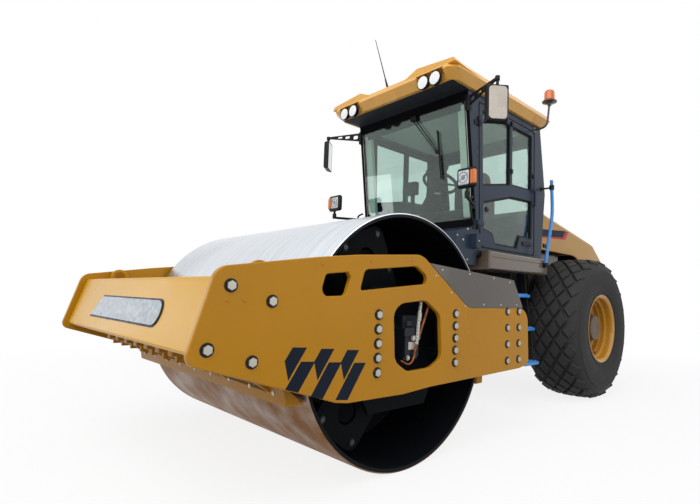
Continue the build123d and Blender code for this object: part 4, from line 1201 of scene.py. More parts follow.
class ROLLER_OT_drum(bpy.types.Operator):
    """Drum with rounded edges, bolted heads, and the motor and hoses beside it"""

    bl_idname = "roller.drum"
    bl_label = "Drum"

    def execute(self, context):
        inner = DRUM_RADIUS - SHELL_WALL
        side = [
            (DRUM_RADIUS, DRUM_EDGE - 0.007), (DRUM_RADIUS - 0.002, DRUM_EDGE - 0.002),
            (DRUM_RADIUS - 0.007, DRUM_EDGE), (inner + 0.006, DRUM_EDGE),
            (inner + 0.001, DRUM_EDGE - 0.003), (inner, DRUM_EDGE - 0.008),
            (inner, HEAD_FACE + 0.022), (inner - 0.008, HEAD_FACE + 0.005),
            (inner - 0.024, HEAD_FACE), (HUB_RING + 0.02, HEAD_FACE),
            (HUB_RING, HEAD_FACE + 0.020), (HUB_RING, BOSS_FACE - 0.006),
            (HUB_RING - 0.006, BOSS_FACE), (HUB_BORE, BOSS_FACE),
        ]
        profile = side + [(radius, -offset) for radius, offset in reversed(side)]
        drum = smooth(turned("drum_shell", profile, (DRUM_CENTRE.x, 0, DRUM_CENTRE.z), steps=160), 30)
        dress(drum, "drum", "rolled_steel", stands_for=("drum",))
        self.arms()
        self.motors()
        return {"FINISHED"}

    def arms(self):
        """Drive plate of three pierced arms, each carried by two rubber buffers and bolts."""
        arm = box(
            "arm", (0.10, ARM_FACE - ARM_THICK, -ARM_HALF), (ARM_REACH, ARM_FACE, ARM_HALF)
        )
        round_corners(arm, "Y", 0.075, 8)
        hole = rod("hole", (0.52, 0.5, 0.0), (0.52, 1.0, 0.0), 0.068, 40)
        bevelled(cut(arm, hole), 0.003)
        centre = Matrix.Translation((DRUM_CENTRE.x, 0, DRUM_CENTRE.z))
        turns = [centre @ Matrix.Rotation(-math.radians(turn), 4, "Y") for turn in ARM_TURNS]
        collar = turned(
            "collar",
            ((HUB_BORE + 0.002, BOSS_FACE - 0.01), (0.24, BOSS_FACE - 0.01), (0.24, ARM_FACE - 0.004),
             (0.236, ARM_FACE + 0.001), (HUB_BORE + 0.002, ARM_FACE + 0.001)),
            (DRUM_CENTRE.x, 0, DRUM_CENTRE.z), steps=48,
        )
        smooth(collar, 30)
        plate_piece = mirrored(joined("drive_arms", [copies("arms", arm, turns), collar]))
        dress(plate_piece, "drum", "shadow_enamel")
        buffer = turned(
            "buffer",
            ((0.0, HEAD_FACE - 0.01), (0.060, HEAD_FACE - 0.01), (0.050, 0.60), (0.050, 0.78),
             (0.062, ARM_FACE - ARM_THICK), (0.0, ARM_FACE - ARM_THICK)),
            (0.0, 0.0, 0.0), steps=24,
        )
        smooth(buffer, 40)
        seats = [turn @ Matrix.Translation((0.60, 0, z)) for turn in turns for z in (-0.115, 0.115)]
        dress(mirrored(copies("drive_buffers", buffer, seats)), "drum", "seal_rubber")
        spots = [
            turn @ Vector((0.635, ARM_FACE, z)) for turn in turns for z in (-0.135, 0.135)
        ] + [turn @ Vector((0.40, ARM_FACE, 0.15)) for turn in turns]
        # painted shade: these bolts are darkened to stand for the shade inside the drum
        fixings("drive_bolts", "drum", 0.030, spots, metal="black_steel")

    def motors(self):
        """Motor housings with their ports, and the hose and the cable of the left one."""
        dress_node("drum_motors", 0.010, "front_frame", "engine_casting", segments=3)
        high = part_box("drum_motors")[1]
        ports = []
        for x, z, radius in ((1.60, 0.775, 0.020), (1.64, 0.775, 0.020), (1.685, 0.66, 0.016)):
            ports.append(rod("port", (x, high.y - 0.02, z), (x, high.y + 0.010, z), radius, 6))
            ports.append(rod("cap", (x, high.y - 0.004, z), (x, high.y + 0.016, z), 0.7 * radius, 16))
        dress(joined("motor_ports", ports), "front_frame", "zinc_plate")
        cover = turned(
            "spindle_cover",
            ((0.0, 0.0), (0.110, 0.0), (0.110, 0.012), (0.098, 0.020), (0.060, 0.022), (0.0, 0.024)),
            (1.640, 0.985, DRUM_CENTRE.z), steps=40,
        )
        smooth(cover, 30)
        dress(mirrored(cover), "front_frame", "chassis_enamel")
        label = block(
            "motor_label", (1.612, high.y - 0.001, 0.705), (1.672, high.y + 0.001, 0.750), 0.0008, 1
        )
        dress(label, "front_frame", "grey_plastic")
        blocks = []
        for low_corner, high_corner in (
            ((1.63, 1.088, 0.785), (1.72, 1.104, 0.835)), ((1.655, 1.088, 0.845), (1.70, 1.100, 0.875)),
            ((1.60, 1.088, 0.650), (1.65, 1.098, 0.690)), ((1.575, 1.088, 0.80), (1.60, 1.100, 0.86)),
        ):
            blocks.append(block("block", low_corner, high_corner, 0.004))
        dress(joined("valve_blocks", blocks), "front_frame", "engine_casting")
        hose = tube(
            "pressure_hose",
            ((1.616, 1.104, 0.735), (1.612, 1.108, 0.80), (1.604, 1.108, 0.90), (1.585, 1.104, 0.99)),
            0.010, 0.05, 16,
        )
        cable = tube(
            "sensor_cable",
            ((1.63, 1.104, 0.70), (1.60, 1.110, 0.79), (1.56, 1.108, 0.87), (1.515, 1.104, 0.965)),
            0.0075, 0.05, 12,
        )
        fitting = rod("hose_fitting", (1.604, 1.107, 0.875), (1.598, 1.107, 0.925), 0.015, 6)
        dress(bevelled(fitting, 0.002), "front_frame", "zinc_plate")
        dress(hose, "front_frame", "white_braid", stands_for=("drum_hoses",))
        dress(cable, "front_frame", "orange_conduit")
        loop = tube(
            "sensor_loop",
            ((1.622, 1.100, 0.72), (1.640, 1.106, 0.65), (1.675, 1.102, 0.615), (1.70, 1.06, 0.64)),
            0.0065, 0.03, 10,
        )
        dress(loop, "front_frame", "orange_conduit")


# ---- chassis -----------------------------------------------------------------------
CHASSIS_NODES = (       # node, edge radius, body, finish
    ("chassis", 0.004, "rear_frame", "chassis_enamel"),
    ("rear_axle", 0.006, "rear_frame", "chassis_enamel"),
    ("deck", 0.010, "rear_frame", "chassis_enamel"),
    ("bay_panels", 0.003, "rear_frame", "panel_enamel"),
    ("counterweight", 0.018, "rear_frame", "frame_enamel"),
    ("tow_hitch", 0.004, "rear_frame", "chassis_enamel"),
    ("engine_block", 0.020, "rear_frame", "engine_casting"),
    ("yoke", 0.006, "yoke", "chassis_enamel"),
    ("steer_barrel_left", 0.003, "barrel_left", "chassis_enamel"),
    ("steer_barrel_right", 0.003, "barrel_right", "chassis_enamel"),
    ("ladder_frames", 0.003, "rear_frame", "chassis_enamel"),
)


HINGE_X = 0.130
CAP_BOLTS, CAP_RING = 6, 0.058


class ROLLER_OT_chassis(bpy.types.Operator):
    """Chassis, axle, hinge and counterweight with rounded edges and their fittings"""

    bl_idname = "roller.chassis"
    bl_label = "Chassis"

    def execute(self, context):
        for node, width, body, material in CHASSIS_NODES:
            dress_node(node, width, body, material)
        self.pin_caps()
        self.hitch_pin()
        return {"FINISHED"}

    def pin_caps(self):
        """Bolted caps at both ends of the hinge pin."""
        cap = ((0.0, 0.0), (0.085, 0.0), (0.085, 0.010), (0.078, 0.016), (0.0, 0.016))
        caps = [
            turned("cap", cap, (HINGE_X, 0, 0.995), "Z", 32),
            turned("cap", [(r, -d) for r, d in cap], (HINGE_X, 0, 0.505), "Z", 32),
        ]
        piece = smooth(joined("hinge_pin_caps", caps), 30)
        dress(piece, "rear_frame", "chassis_enamel")
        ring = [
            (HINGE_X + CAP_RING * math.cos(turn), CAP_RING * math.sin(turn), 1.011)
            for turn in around(CAP_BOLTS)
        ]
        fixings("hinge_cap_bolts", "rear_frame", 0.018, ring, (0, 0, 1), both_sides=False)

    def hitch_pin(self):
        """Loose towing pin with its ring handle."""
        x, top = -2.958, 0.665
        pin = [
            rod("pin", (x, 0, 0.545), (x, 0, top + 0.01), 0.0165, 24),
            rod("pin_head", (x, 0, top), (x, 0, top + 0.014), 0.028, 24),
            tube(
                "pin_handle",
                ((x, -0.028, top + 0.012), (x, -0.028, top + 0.062), (x, 0.028, top + 0.062),
                 (x, 0.028, top + 0.012)),
                0.005, 0.02, 10,
            ),
        ]
        dress(joined("towing_pin", pin), "rear_frame", "zinc_plate")


# ---- rear wheels -------------------------------------------------------------------
WHEEL_CENTRE = Vector((-1.370, 0.795, 0.740))
LUGS_PER_ROW = 22
LUG_ROWS = (        # distance from the middle, top radius, tilt in degrees, length share
    (0.0, 0.7385, 0, 1.0), (0.074, 0.7375, 3, 1.0), (0.148, 0.732, 9, 1.0), (0.222, 0.714, 26, 0.92),
)
LUG_HALF_ACROSS, LUG_HALF_AROUND, LUG_DEPTH = 0.0640, 0.091, 0.042
NUT_COUNT, NUT_RING = 12, 0.205
VALVE_TURN = math.radians(196)
SIDEWALL = (        # radius, distance from the tyre's middle
    (0.3315, 0.252), (0.346, 0.264), (0.362, 0.268), (0.380, 0.272), (0.384, 0.277), (0.392, 0.278),
    (0.397, 0.275), (0.440, 0.286), (0.500, 0.292), (0.560, 0.2930), (0.600, 0.290), (0.604, 0.2925),
    (0.612, 0.2915), (0.616, 0.287), (0.648, 0.276), (0.676, 0.256), (0.693, 0.228), (0.702, 0.190),
    (0.707, 0.120), (0.709, 0.040),
)
RIM_PROFILE = (     # radius, distance out from the wheel's middle
    (0.330, 0.240), (0.334, 0.256), (0.348, 0.262), (0.355, 0.266), (0.3555, 0.2695), (0.346, 0.2698),
    (0.334, 0.262), (0.323, 0.254), (0.3185, 0.244), (0.3180, 0.196), (0.313, 0.190), (0.300, 0.187),
    (0.296, 0.182), (0.2955, 0.140), (0.2915, 0.134), (0.2865, 0.132), (0.2860, 0.090), (0.280, 0.082),
    (0.268, 0.077), (0.2635, 0.070), (0.2625, 0.028), (0.256, 0.0205), (0.0905, 0.0200),
    (0.0905, -0.010), (0.262, -0.010), (0.262, -0.200), (0.318, -0.210), (0.318, -0.262),
    (0.346, -0.269), (0.355, -0.266), (0.334, -0.256), (0.330, -0.240),
)
HUB_PROFILE = (
    (0.0, 0.022), (0.160, 0.022), (0.160, 0.033), (0.156, 0.037), (0.138, 0.038), (0.1355, 0.044),
    (0.134, 0.192), (0.129, 0.200), (0.118, 0.203), (0.060, 0.2035), (0.056, 0.2005), (0.0, 0.2005),
)


class ROLLER_OT_wheels(bpy.types.Operator):
    """Rear wheels: tyres with diamond lugs, stepped rims, hub caps, nuts and valves"""

    bl_idname = "roller.wheels"
    bl_label = "Rear Wheels"

    def execute(self, context):
        made = (
            (self.tyre(), "tyre_rubber", "tyre"), (self.rim(), "rim_enamel", "rim"),
            (self.hub(), "hub_enamel", "hub_cap"), (self.nuts(), "rim_enamel", None),
            (self.valve(), "zinc_plate", None),
        )
        for piece, material, node in made:
            label = piece.name
            twin = other_side(piece, label + "_right")
            piece.name = label + "_left"
            for finished, side in ((piece, "left"), (twin, "right")):
                stands_for = (f"{node}_{side}",) if node else ()
                dress(finished, "wheel_" + side, material, stands_for=stands_for)
        return {"FINISHED"}

    def tyre(self):
        """Carcass turned from its section, with seven staggered rows of lugs."""
        section = list(SIDEWALL) + [(radius, -offset) for radius, offset in reversed(SIDEWALL)]
        carcass = smooth(turned("carcass", section, WHEEL_CENTRE, steps=132), 30)
        pattern = self.lug()
        centre = Matrix.Translation(WHEEL_CENTRE)
        places = []
        for row, (distance, top, tilt, length) in enumerate(LUG_ROWS):
            for offset in sorted({-distance, distance}):
                lean = Matrix.Rotation(-math.copysign(math.radians(tilt), offset), 4, "X")
                seat = Matrix.Translation((0, offset, top)) @ lean @ Matrix.Diagonal((length, 1, 1, 1))
                for step in range(LUGS_PER_ROW):
                    turn = math.tau * (step + row % 2 / 2) / LUGS_PER_ROW
                    places.append(centre @ Matrix.Rotation(turn, 4, "Y") @ seat)
        lugs = copies("lugs", pattern, places)
        return joined("tread_tyre", [carcass, lugs])

    def lug(self):
        """One diamond lug under its top, with tapering flanks and softened edges."""
        outline = (
            (LUG_HALF_AROUND, 0), (0, LUG_HALF_ACROSS), (-LUG_HALF_AROUND, 0), (0, -LUG_HALF_ACROSS),
        )
        lug = plate("lug", outline, -LUG_DEPTH, 0.0, "Z")
        with editing(lug):
            pick(lug, lambda face: face.normal.z > 0.9)
            bpy.ops.transform.resize(value=(0.86, 0.86, 1.0))
        return bevelled(lug, 0.004, 2, 20)

    def rim(self):
        """Stepped rim."""
        return smooth(turned("wheel_rim", RIM_PROFILE, WHEEL_CENTRE, steps=96), 25)

    def hub(self):
        """Cover over the final drive."""
        return smooth(turned("hub_cover", HUB_PROFILE, WHEEL_CENTRE, steps=64), 25)

    def nuts(self):
        """Ring of wheel nuts around the hub."""
        nut = rod("nut", (0, 0, 0), (0, 0.026, 0), 0.019, 6)
        bevelled(nut, 0.002, 2)
        stud = rod("stud", (0, 0.02, 0), (0, 0.040, 0), 0.010, 12)
        pattern = joined("nut", [nut, stud])
        spots = []
        for turn in around(NUT_COUNT):
            place = WHEEL_CENTRE + Vector((NUT_RING * math.cos(turn), 0.020, NUT_RING * math.sin(turn)))
            spots.append(Matrix.Translation(place))
        return copies("wheel_nuts", pattern, spots)

    def valve(self):
        """Tyre valve low on the rim, with its guard."""
        spoke = Vector((math.sin(VALVE_TURN), 0, math.cos(VALVE_TURN)))
        root = WHEEL_CENTRE + spoke * 0.284 + Vector((0, 0.105, 0))
        out = root - spoke * 0.010 + Vector((0, 0.055, 0))
        parts = [
            rod("valve_stem", root, out, 0.006, 14),
            rod("valve_nut", root, root + (out - root) * 0.25, 0.013, 6),
            rod("valve_cap", out, out + (out - root) * 0.3, 0.008, 14),
            block("guard", root - Vector((0.022, 0.012, 0.006)), root + Vector((0.022, 0.030, 0)),
                  0.003),
        ]
        return joined("valve", parts)


# ---- steps and rails ---------------------------------------------------------------
STEP_EDGES = ((0.755, 1.055), (0.805, 0.745), (0.850, 0.435))       # outer edge, height
STEP_REAR = -0.400
TOOTH_ROWS, TOOTH_COLUMNS = 4, 9
RAIL_PATH = (
    (-0.590, 0.815, 1.345), (-0.612, 0.815, 1.480), (-0.736, 0.815, 1.890), (-0.712, 0.815, 2.245),
)


class ROLLER_OT_steps(bpy.types.Operator):
    """Serrated steps, handrails with clamps, step boxes and the front console"""

    bl_idname = "roller.steps"
    bl_label = "Steps and Rails"

    def execute(self, context):
        dress_node("ladder_steps", 0.007, "rear_frame", "rail_enamel", segments=3)
        tooth = rod("tooth", (0, 0, 0), (0, 0, 0.009), 0.009, 4, 0.005)
        places = []
        for edge, height in STEP_EDGES:
            for row in range(TOOTH_ROWS):
                y = edge - 0.025 - row * 0.040
                for place in range(TOOTH_COLUMNS):
                    x = STEP_REAR + 0.022 + place * 0.0258
                    places.append((x, y, height + 0.0145))
        teeth = mirrored(copies("tread_teeth", tooth, places))
        dress(teeth, "rear_frame", "rail_enamel")
        self.rails()
        self.boxes()
        return {"FINISHED"}

    def rails(self):
        """Bent handrails and the clamps that hold them."""
        rail = mirrored(tube("rails", RAIL_PATH, 0.0165, 0.12, 20))
        dress(rail, "rear_frame", "rail_enamel", stands_for=("handrails",))
        clamps = []
        for centre, reach in (((-0.593, 0.815, 1.366), 0.795), ((-0.716, 0.815, 2.170), 0.699)):
            centre = Vector(centre)
            half = Vector((0, 0, 0.022))
            clamps += [
                rod("collar", centre - half, centre + half, 0.025, 24),
                block("arm", (centre.x - 0.013, reach, centre.z - 0.007),
                      (centre.x + 0.013, centre.y, centre.z + 0.007), 0.004),
                block("foot", (centre.x - 0.024, reach, centre.z - 0.022),
                      (centre.x + 0.024, reach + 0.006, centre.z + 0.022), 0.002),
            ]
        dress(mirrored(joined("rail_clamps", clamps)), "rear_frame", "black_plastic")

    def boxes(self):
        """Glossy boxes under the doors, and the console ahead of the cab."""
        dress_node("step_boxes", 0.004, "rear_frame", "box_enamel")
        low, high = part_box("step_boxes")
        seam = box("seam", (low.x + 0.03, high.y - 0.0015, 1.376), (high.x - 0.03, high.y + 0.0004, 1.3795))
        dress(mirrored(seam), "rear_frame", "seal_rubber")
        mat = block("step_mat", (low.x + 0.05, high.y - 0.085, high.z - 0.002),
                    (high.x - 0.05, high.y - 0.02, high.z + 0.0035), 0.002)
        dress(mirrored(mat), "rear_frame", "seal_rubber")
        dress_node("front_console", 0.012, "rear_frame", "cab_enamel", segments=3)
        lid = block("console_lid", (0.735, -0.42, 1.36), (0.724, 0.42, 1.53), 0.004)
        lid.data.transform(Matrix.Translation((-0.006, 0, 0)))
        dress(lid, "rear_frame", "cab_enamel")
        screws("console_screws", "rear_frame", 0.008,
               [(0.700, 0.700, 1.53), (0.700, 0.700, 1.34), (0.560, 0.700, 1.34), (0.480, 0.760, 1.50)])
        spots = ((0.560, 0.700, 1.595), (0.620, 0.700, 1.50))
        screws("console_plugs", "rear_frame", 0.010, spots)


# ---- cab ---------------------------------------------------------------------------
CAB_FACE = 0.700
MULLION = (-0.140, -0.100)
WINDOW_FRONT = ((MULLION[1], 2.090), (0.345, 2.000), (0.365, 2.680), (MULLION[1], 2.680))
WINDOW_REAR = ((-0.515, 2.110), (MULLION[0], 2.095), (MULLION[0], 2.680), (-0.515, 2.680))
WINDOW_LOW = (
    (-0.515, 2.010), (-0.120, 1.990), (0.335, 1.870), (0.330, 1.620), (0.180, 1.590), (0.130, 1.500),
    (-0.235, 1.500), (-0.290, 1.620), (-0.515, 1.620),
)
DOOR_EDGE = ((-0.564, 1.466), (0.374, 1.466), (0.394, 1.750), (0.424, 2.734), (-0.564, 2.734))
SCREEN_LOW, SCREEN_HIGH = Vector((0.4469, 0, 1.700)), Vector((0.572, 0, 2.710))
SCREEN_HALF = 0.655
REAR_HALF = 0.560
REAR_LEVELS = (         # x, z of the rear window at its sill, fold and head
    Vector((-0.746, 1.800)), Vector((-0.784, 2.127)), Vector((-0.698, 2.640)),
)
SCREEN_RAKE = (SCREEN_HIGH.x - SCREEN_LOW.x) / (SCREEN_HIGH.z - SCREEN_LOW.z)


def raked(piece):
    """Leans a piece made upright at the foot of the windshield to the windshield's rake."""
    lean = Matrix.Identity(4)
    lean[0][2] = SCREEN_RAKE
    lean[0][3] = -SCREEN_RAKE * SCREEN_LOW.z
    piece.data.transform(lean)
    return piece


class ROLLER_OT_cab(bpy.types.Operator):
    """Cab shell and doors with their seals, dark glass edges, hinges and handles"""

    bl_idname = "roller.cab"
    bl_label = "Cab"

    def execute(self, context):
        dress_node("cab_frame", 0.014, "rear_frame", "cab_enamel", segments=3)
        dress_node("door_hinges", 0.002, "rear_frame", "black_plastic")
        for side, word in SIDES:
            self.door(side, word)
        self.windshield()
        self.rear_window()
        self.lining()
        return {"FINISHED"}

    def door(self, side, word):
        """One door leaf with what it carries."""
        body = "door_" + word
        dress_node(body, 0.007, body, "cab_enamel", segments=3)     # node and body share a name
        trims = [seal("bead", DOOR_EDGE, CAB_FACE + 0.001, 0.005, 0.05)]
        for outline in (WINDOW_FRONT, WINDOW_REAR, WINDOW_LOW):
            trims.append(seal("bead", outline, CAB_FACE - 0.012, 0.008, 0.035))
            trims.append(plate("edge", outline, CAB_FACE - 0.019, CAB_FACE - 0.0185, margin=0.022))
        for z in (2.690, 2.230):
            trims.append(block(
                "catch", (-0.135, CAB_FACE, z - 0.022), (-0.105, CAB_FACE + 0.016, z + 0.022), 0.004
            ))
        trims.append(block("kick_strip", (-0.50, CAB_FACE, 1.545), (-0.33, CAB_FACE + 0.010, 1.585), 0.004))
        bar = ((0.28, 0.635, 2.02), (0.24, 0.612, 1.98), (0.16, 0.612, 1.70), (0.18, 0.640, 1.66))
        trims.append(tube("inner_bar", bar, 0.010, 0.03, 12))
        for place in ((-0.541, CAB_FACE + 0.004, 2.27), (0.30, CAB_FACE + 0.004, 1.80)):
            turn = [(0.0, 0.0), (0.026, 0.0), (0.026, 0.006), (0.018, 0.014), (0.0, 0.015)]
            knob = smooth(turned("knob", turn, place, steps=20), 40)
            trims.append(knob)
        trim = joined("door_trim_" + word, trims)
        if side < 0:
            flipped(trim)
        dress(trim, body, "black_plastic")

    def windshield(self):
        """Dark edge of the windshield, its seal bead, header strip and front trims, and the bright strip
        beside each pillar.
        """
        edge = ((-SCREEN_HALF, SCREEN_LOW.z), (SCREEN_HALF, SCREEN_LOW.z),
                (SCREEN_HALF, SCREEN_HIGH.z), (-SCREEN_HALF, SCREEN_HIGH.z))
        depth = SCREEN_LOW.x - 0.0085
        frame_edge = raked(plate("screen_edge", edge, depth, depth + 0.0004, "X", margin=0.016))
        dress(frame_edge, "rear_frame", "black_plastic")
        bead = seal("screen_bead", [(y * 1.004, z) for y, z in edge], SCREEN_LOW.x - 0.002, 0.006, 0.03, "X")
        dress(raked(bead), "rear_frame", "seal_rubber")
        # painted shade: a black strip behind the top of the windshield stands for the shade under the roof
        header = raked(box("screen_header", (depth - 0.004, -0.60, 2.640), (depth - 0.001, 0.60, 2.706)))
        dress(header, "rear_frame", "black_plastic")
        self.front_trims()
        strip = raked(box(
            "pillar_strip", (SCREEN_LOW.x - 0.006, 0.6585, 1.72), (SCREEN_LOW.x + 0.004, 0.6655, 2.70)
        ))
        dress(mirrored(bevelled(strip, 0.002)), "rear_frame", "zinc_plate")

    def front_trims(self):
        """Black covers on the header, pillars and sill in the matt shadow finish, the header cover being
        painted shade under the roof, and pale linings inside the pillars.
        """
        face = SCREEN_LOW.x + 0.001
        covers = [
            box("header_cover", (face, -0.695, 2.708), (face + 0.006, 0.695, 2.790)),
            box("sill_cover", (face - 0.004, -0.690, 1.600), (face + 0.005, 0.690, 1.698)),
            box("pillar_cover", (face, 0.667, 1.700), (face + 0.006, 0.697, 2.710)),
            box("pillar_cover", (face, -0.697, 1.700), (face + 0.006, -0.667, 2.710)),
        ]
        # painted shade: the header cover darkens the band under the roof edge
        piece = raked(joined("front_covers", [bevelled(cover, 0.002) for cover in covers]))
        dress(piece, "rear_frame", "shadow_plastic")
        lining = raked(box("pillar_lining", (face - 0.060, 0.560, 1.720), (face - 0.014, 0.650, 2.690)))
        dress(mirrored(bevelled(lining, 0.010, 3)), "rear_frame", "pale_lining")

    def rear_window(self):
        """Dark edge around the rear window."""
        sill, fold, head = REAR_LEVELS
        edge = (
            (-REAR_HALF, sill.y), (REAR_HALF, sill.y), (REAR_HALF, fold.y), (REAR_HALF, head.y),
            (-REAR_HALF, head.y), (-REAR_HALF, fold.y),
        )
        bead = seal("rear_bead", edge, 0.0, 0.010, 0.03, "X")
        for vertex in bead.data.vertices:
            start, end = (sill, fold) if vertex.co.z < fold.y else (fold, head)
            share = (vertex.co.z - start.y) / (end.y - start.y)
            vertex.co.x += start.x + (end.x - start.x) * share
        dress(bead, "rear_frame", "seal_rubber")

    def lining(self):
        """Headliner, floor mat and rear shelf inside the cab."""
        headliner = block("headliner", (-0.60, -0.60, 2.712), (0.50, 0.60, 2.724), 0.004)
        dress(headliner, "rear_frame", "pale_lining")
        mat = block("floor_mat", (-0.62, -0.62, 1.458), (0.36, 0.62, 1.468), 0.004)
        dress(mat, "rear_frame", "seal_rubber")
        shelf = block("rear_shelf", (-0.735, -0.55, 1.745), (-0.66, 0.55, 1.775), 0.006)
        dress(shelf, "rear_frame", "lining_plastic")


# ---- roof --------------------------------------------------------------------------
LAMP_PLACES = ((0.453, 2.815), (0.584, 2.815))          # y, z
LAMP_BACK = 0.842
LAMP_CUP = (        # radius, distance forward
    (0.0, 0.0), (0.030, 0.0), (0.048, 0.012), (0.058, 0.030), (0.0605, 0.048), (0.0605, 0.054),
    (0.0550, 0.0555), (0.0535, 0.050), (0.0, 0.048),
)
BEACON_DOME = (     # radius, height
    (0.0, 0.024), (0.056, 0.024), (0.057, 0.034), (0.052, 0.044), (0.050, 0.106), (0.042, 0.122),
    (0.024, 0.129), (0.0, 0.1295),
)
BEACON_BASE = (
    (0.0, -0.030), (0.018, -0.030), (0.022, -0.010), (0.050, -0.002), (0.072, 0.006), (0.073, 0.014),
    (0.060, 0.024), (0.058, 0.028), (0.0, 0.028),
)
LAMP_GLASS = ((0.0, 0.049), (0.0535, 0.051), (0.0535, 0.0535), (0.035, 0.0565), (0.0, 0.0575))


class ROLLER_OT_roof(bpy.types.Operator):
    """Roof with rounded edges, work lamps, aerial and beacon"""

    bl_idname = "roller.roof"
    bl_label = "Roof"

    def execute(self, context):
        dress_node("roof", 0.010, "rear_frame", "roof_enamel", segments=3, angle=12)
        # painted shade: a dark grey sheet under the roof stands for the shade beneath it
        under = block("roof_underside", (-0.70, -0.70, 2.7955), (0.80, 0.70, 2.8005), 0.002)
        dress(under, "rear_frame", "lining_plastic")
        self.lamps()
        self.vents()
        self.aerial()
        self.beacon()
        return {"FINISHED"}

    def lamps(self):
        """Round work lamps, two under each pod."""
        places = [(LAMP_BACK, y, z) for y, z in LAMP_PLACES]
        cup = smooth(turned("lamp_cup", LAMP_CUP, (0, 0, 0), "X", 40), 35)
        glass = smooth(turned("lamp_glass", LAMP_GLASS, (0, 0, 0), "X", 40), 35)
        cups = mirrored(copies("lamp_cups", cup, places))
        dress(cups, "rear_frame", "black_plastic", stands_for=("roof_lamps",))
        dress(mirrored(copies("lamp_glasses", glass, places)), "rear_frame", "clear_lens")
        stem = block("stem", (0.012, -0.012, 0.045), (0.026, 0.012, 0.082), 0.003)
        dress(mirrored(copies("lamp_stems", stem, places)), "rear_frame", "black_plastic")

    def vents(self):
        """Round vents on the rear corners of the cab, below the roof."""
        rings = ((0.0, 0.0), (0.052, 0.0), (0.058, 0.012), (0.058, 0.050), (0.050, 0.060), (0.0, 0.058))
        vent = smooth(turned("cab_vents", rings, (-0.700, 0.610, 2.640), "X", 32, side=-1), 35)
        dress(mirrored(vent), "rear_frame", "black_plastic")

    def aerial(self):
        """Whip aerial on a moulded foot."""
        foot, tip = Vector((0.800, -0.060, 2.940)), Vector((0.870, -0.180, 3.440))
        up = (tip - foot).normalized()
        parts = [
            rod("whip", foot, tip, 0.0060, 10, 0.0030),
            rod("ferrule", foot + up * 0.02, foot + up * 0.11, 0.011, 14, 0.007),
            turned(
                "foot", ((0.0, -0.02), (0.016, -0.02), (0.0155, 0.012), (0.010, 0.028), (0.0, 0.030)),
                foot, "Z", 24,
            ),
        ]
        whip = smooth(joined("whip_aerial", parts), 40)
        dress(whip, "rear_frame", "black_plastic", stands_for=("aerial",))

    def beacon(self):
        """Amber beacon on its bent tube."""
        x, y, foot = -0.570, 0.860, 3.000
        dome = smooth(turned("beacon_dome", BEACON_DOME, (x, y, foot), "Z", 40), 40)
        dress(dome, "rear_frame", "amber_lens", stands_for=("beacon",))
        base = smooth(turned("beacon_base", BEACON_BASE, (x, y, foot), "Z", 40), 35)
        bend = ((x, 0.700, 2.760), (x, 0.835, 2.760), (x, y, foot))
        stalk = tube("beacon_stalk", bend, 0.0105, 0.07, 16)
        flange = block("beacon_flange", (x - 0.03, 0.700, 2.730), (x + 0.03, 0.706, 2.790), 0.003)
        parts = joined("beacon_post", [base, stalk, flange])
        dress(parts, "rear_frame", "panel_enamel")


# ---- mirrors, headlamps and wipers ---------------------------------------------------
MIRROR_PLACE, MIRROR_TURN = Vector((0.715, 1.070, 2.520)), math.radians(49)
HEADLAMP_PLACE = Vector((0.770, 0.840, 1.965))


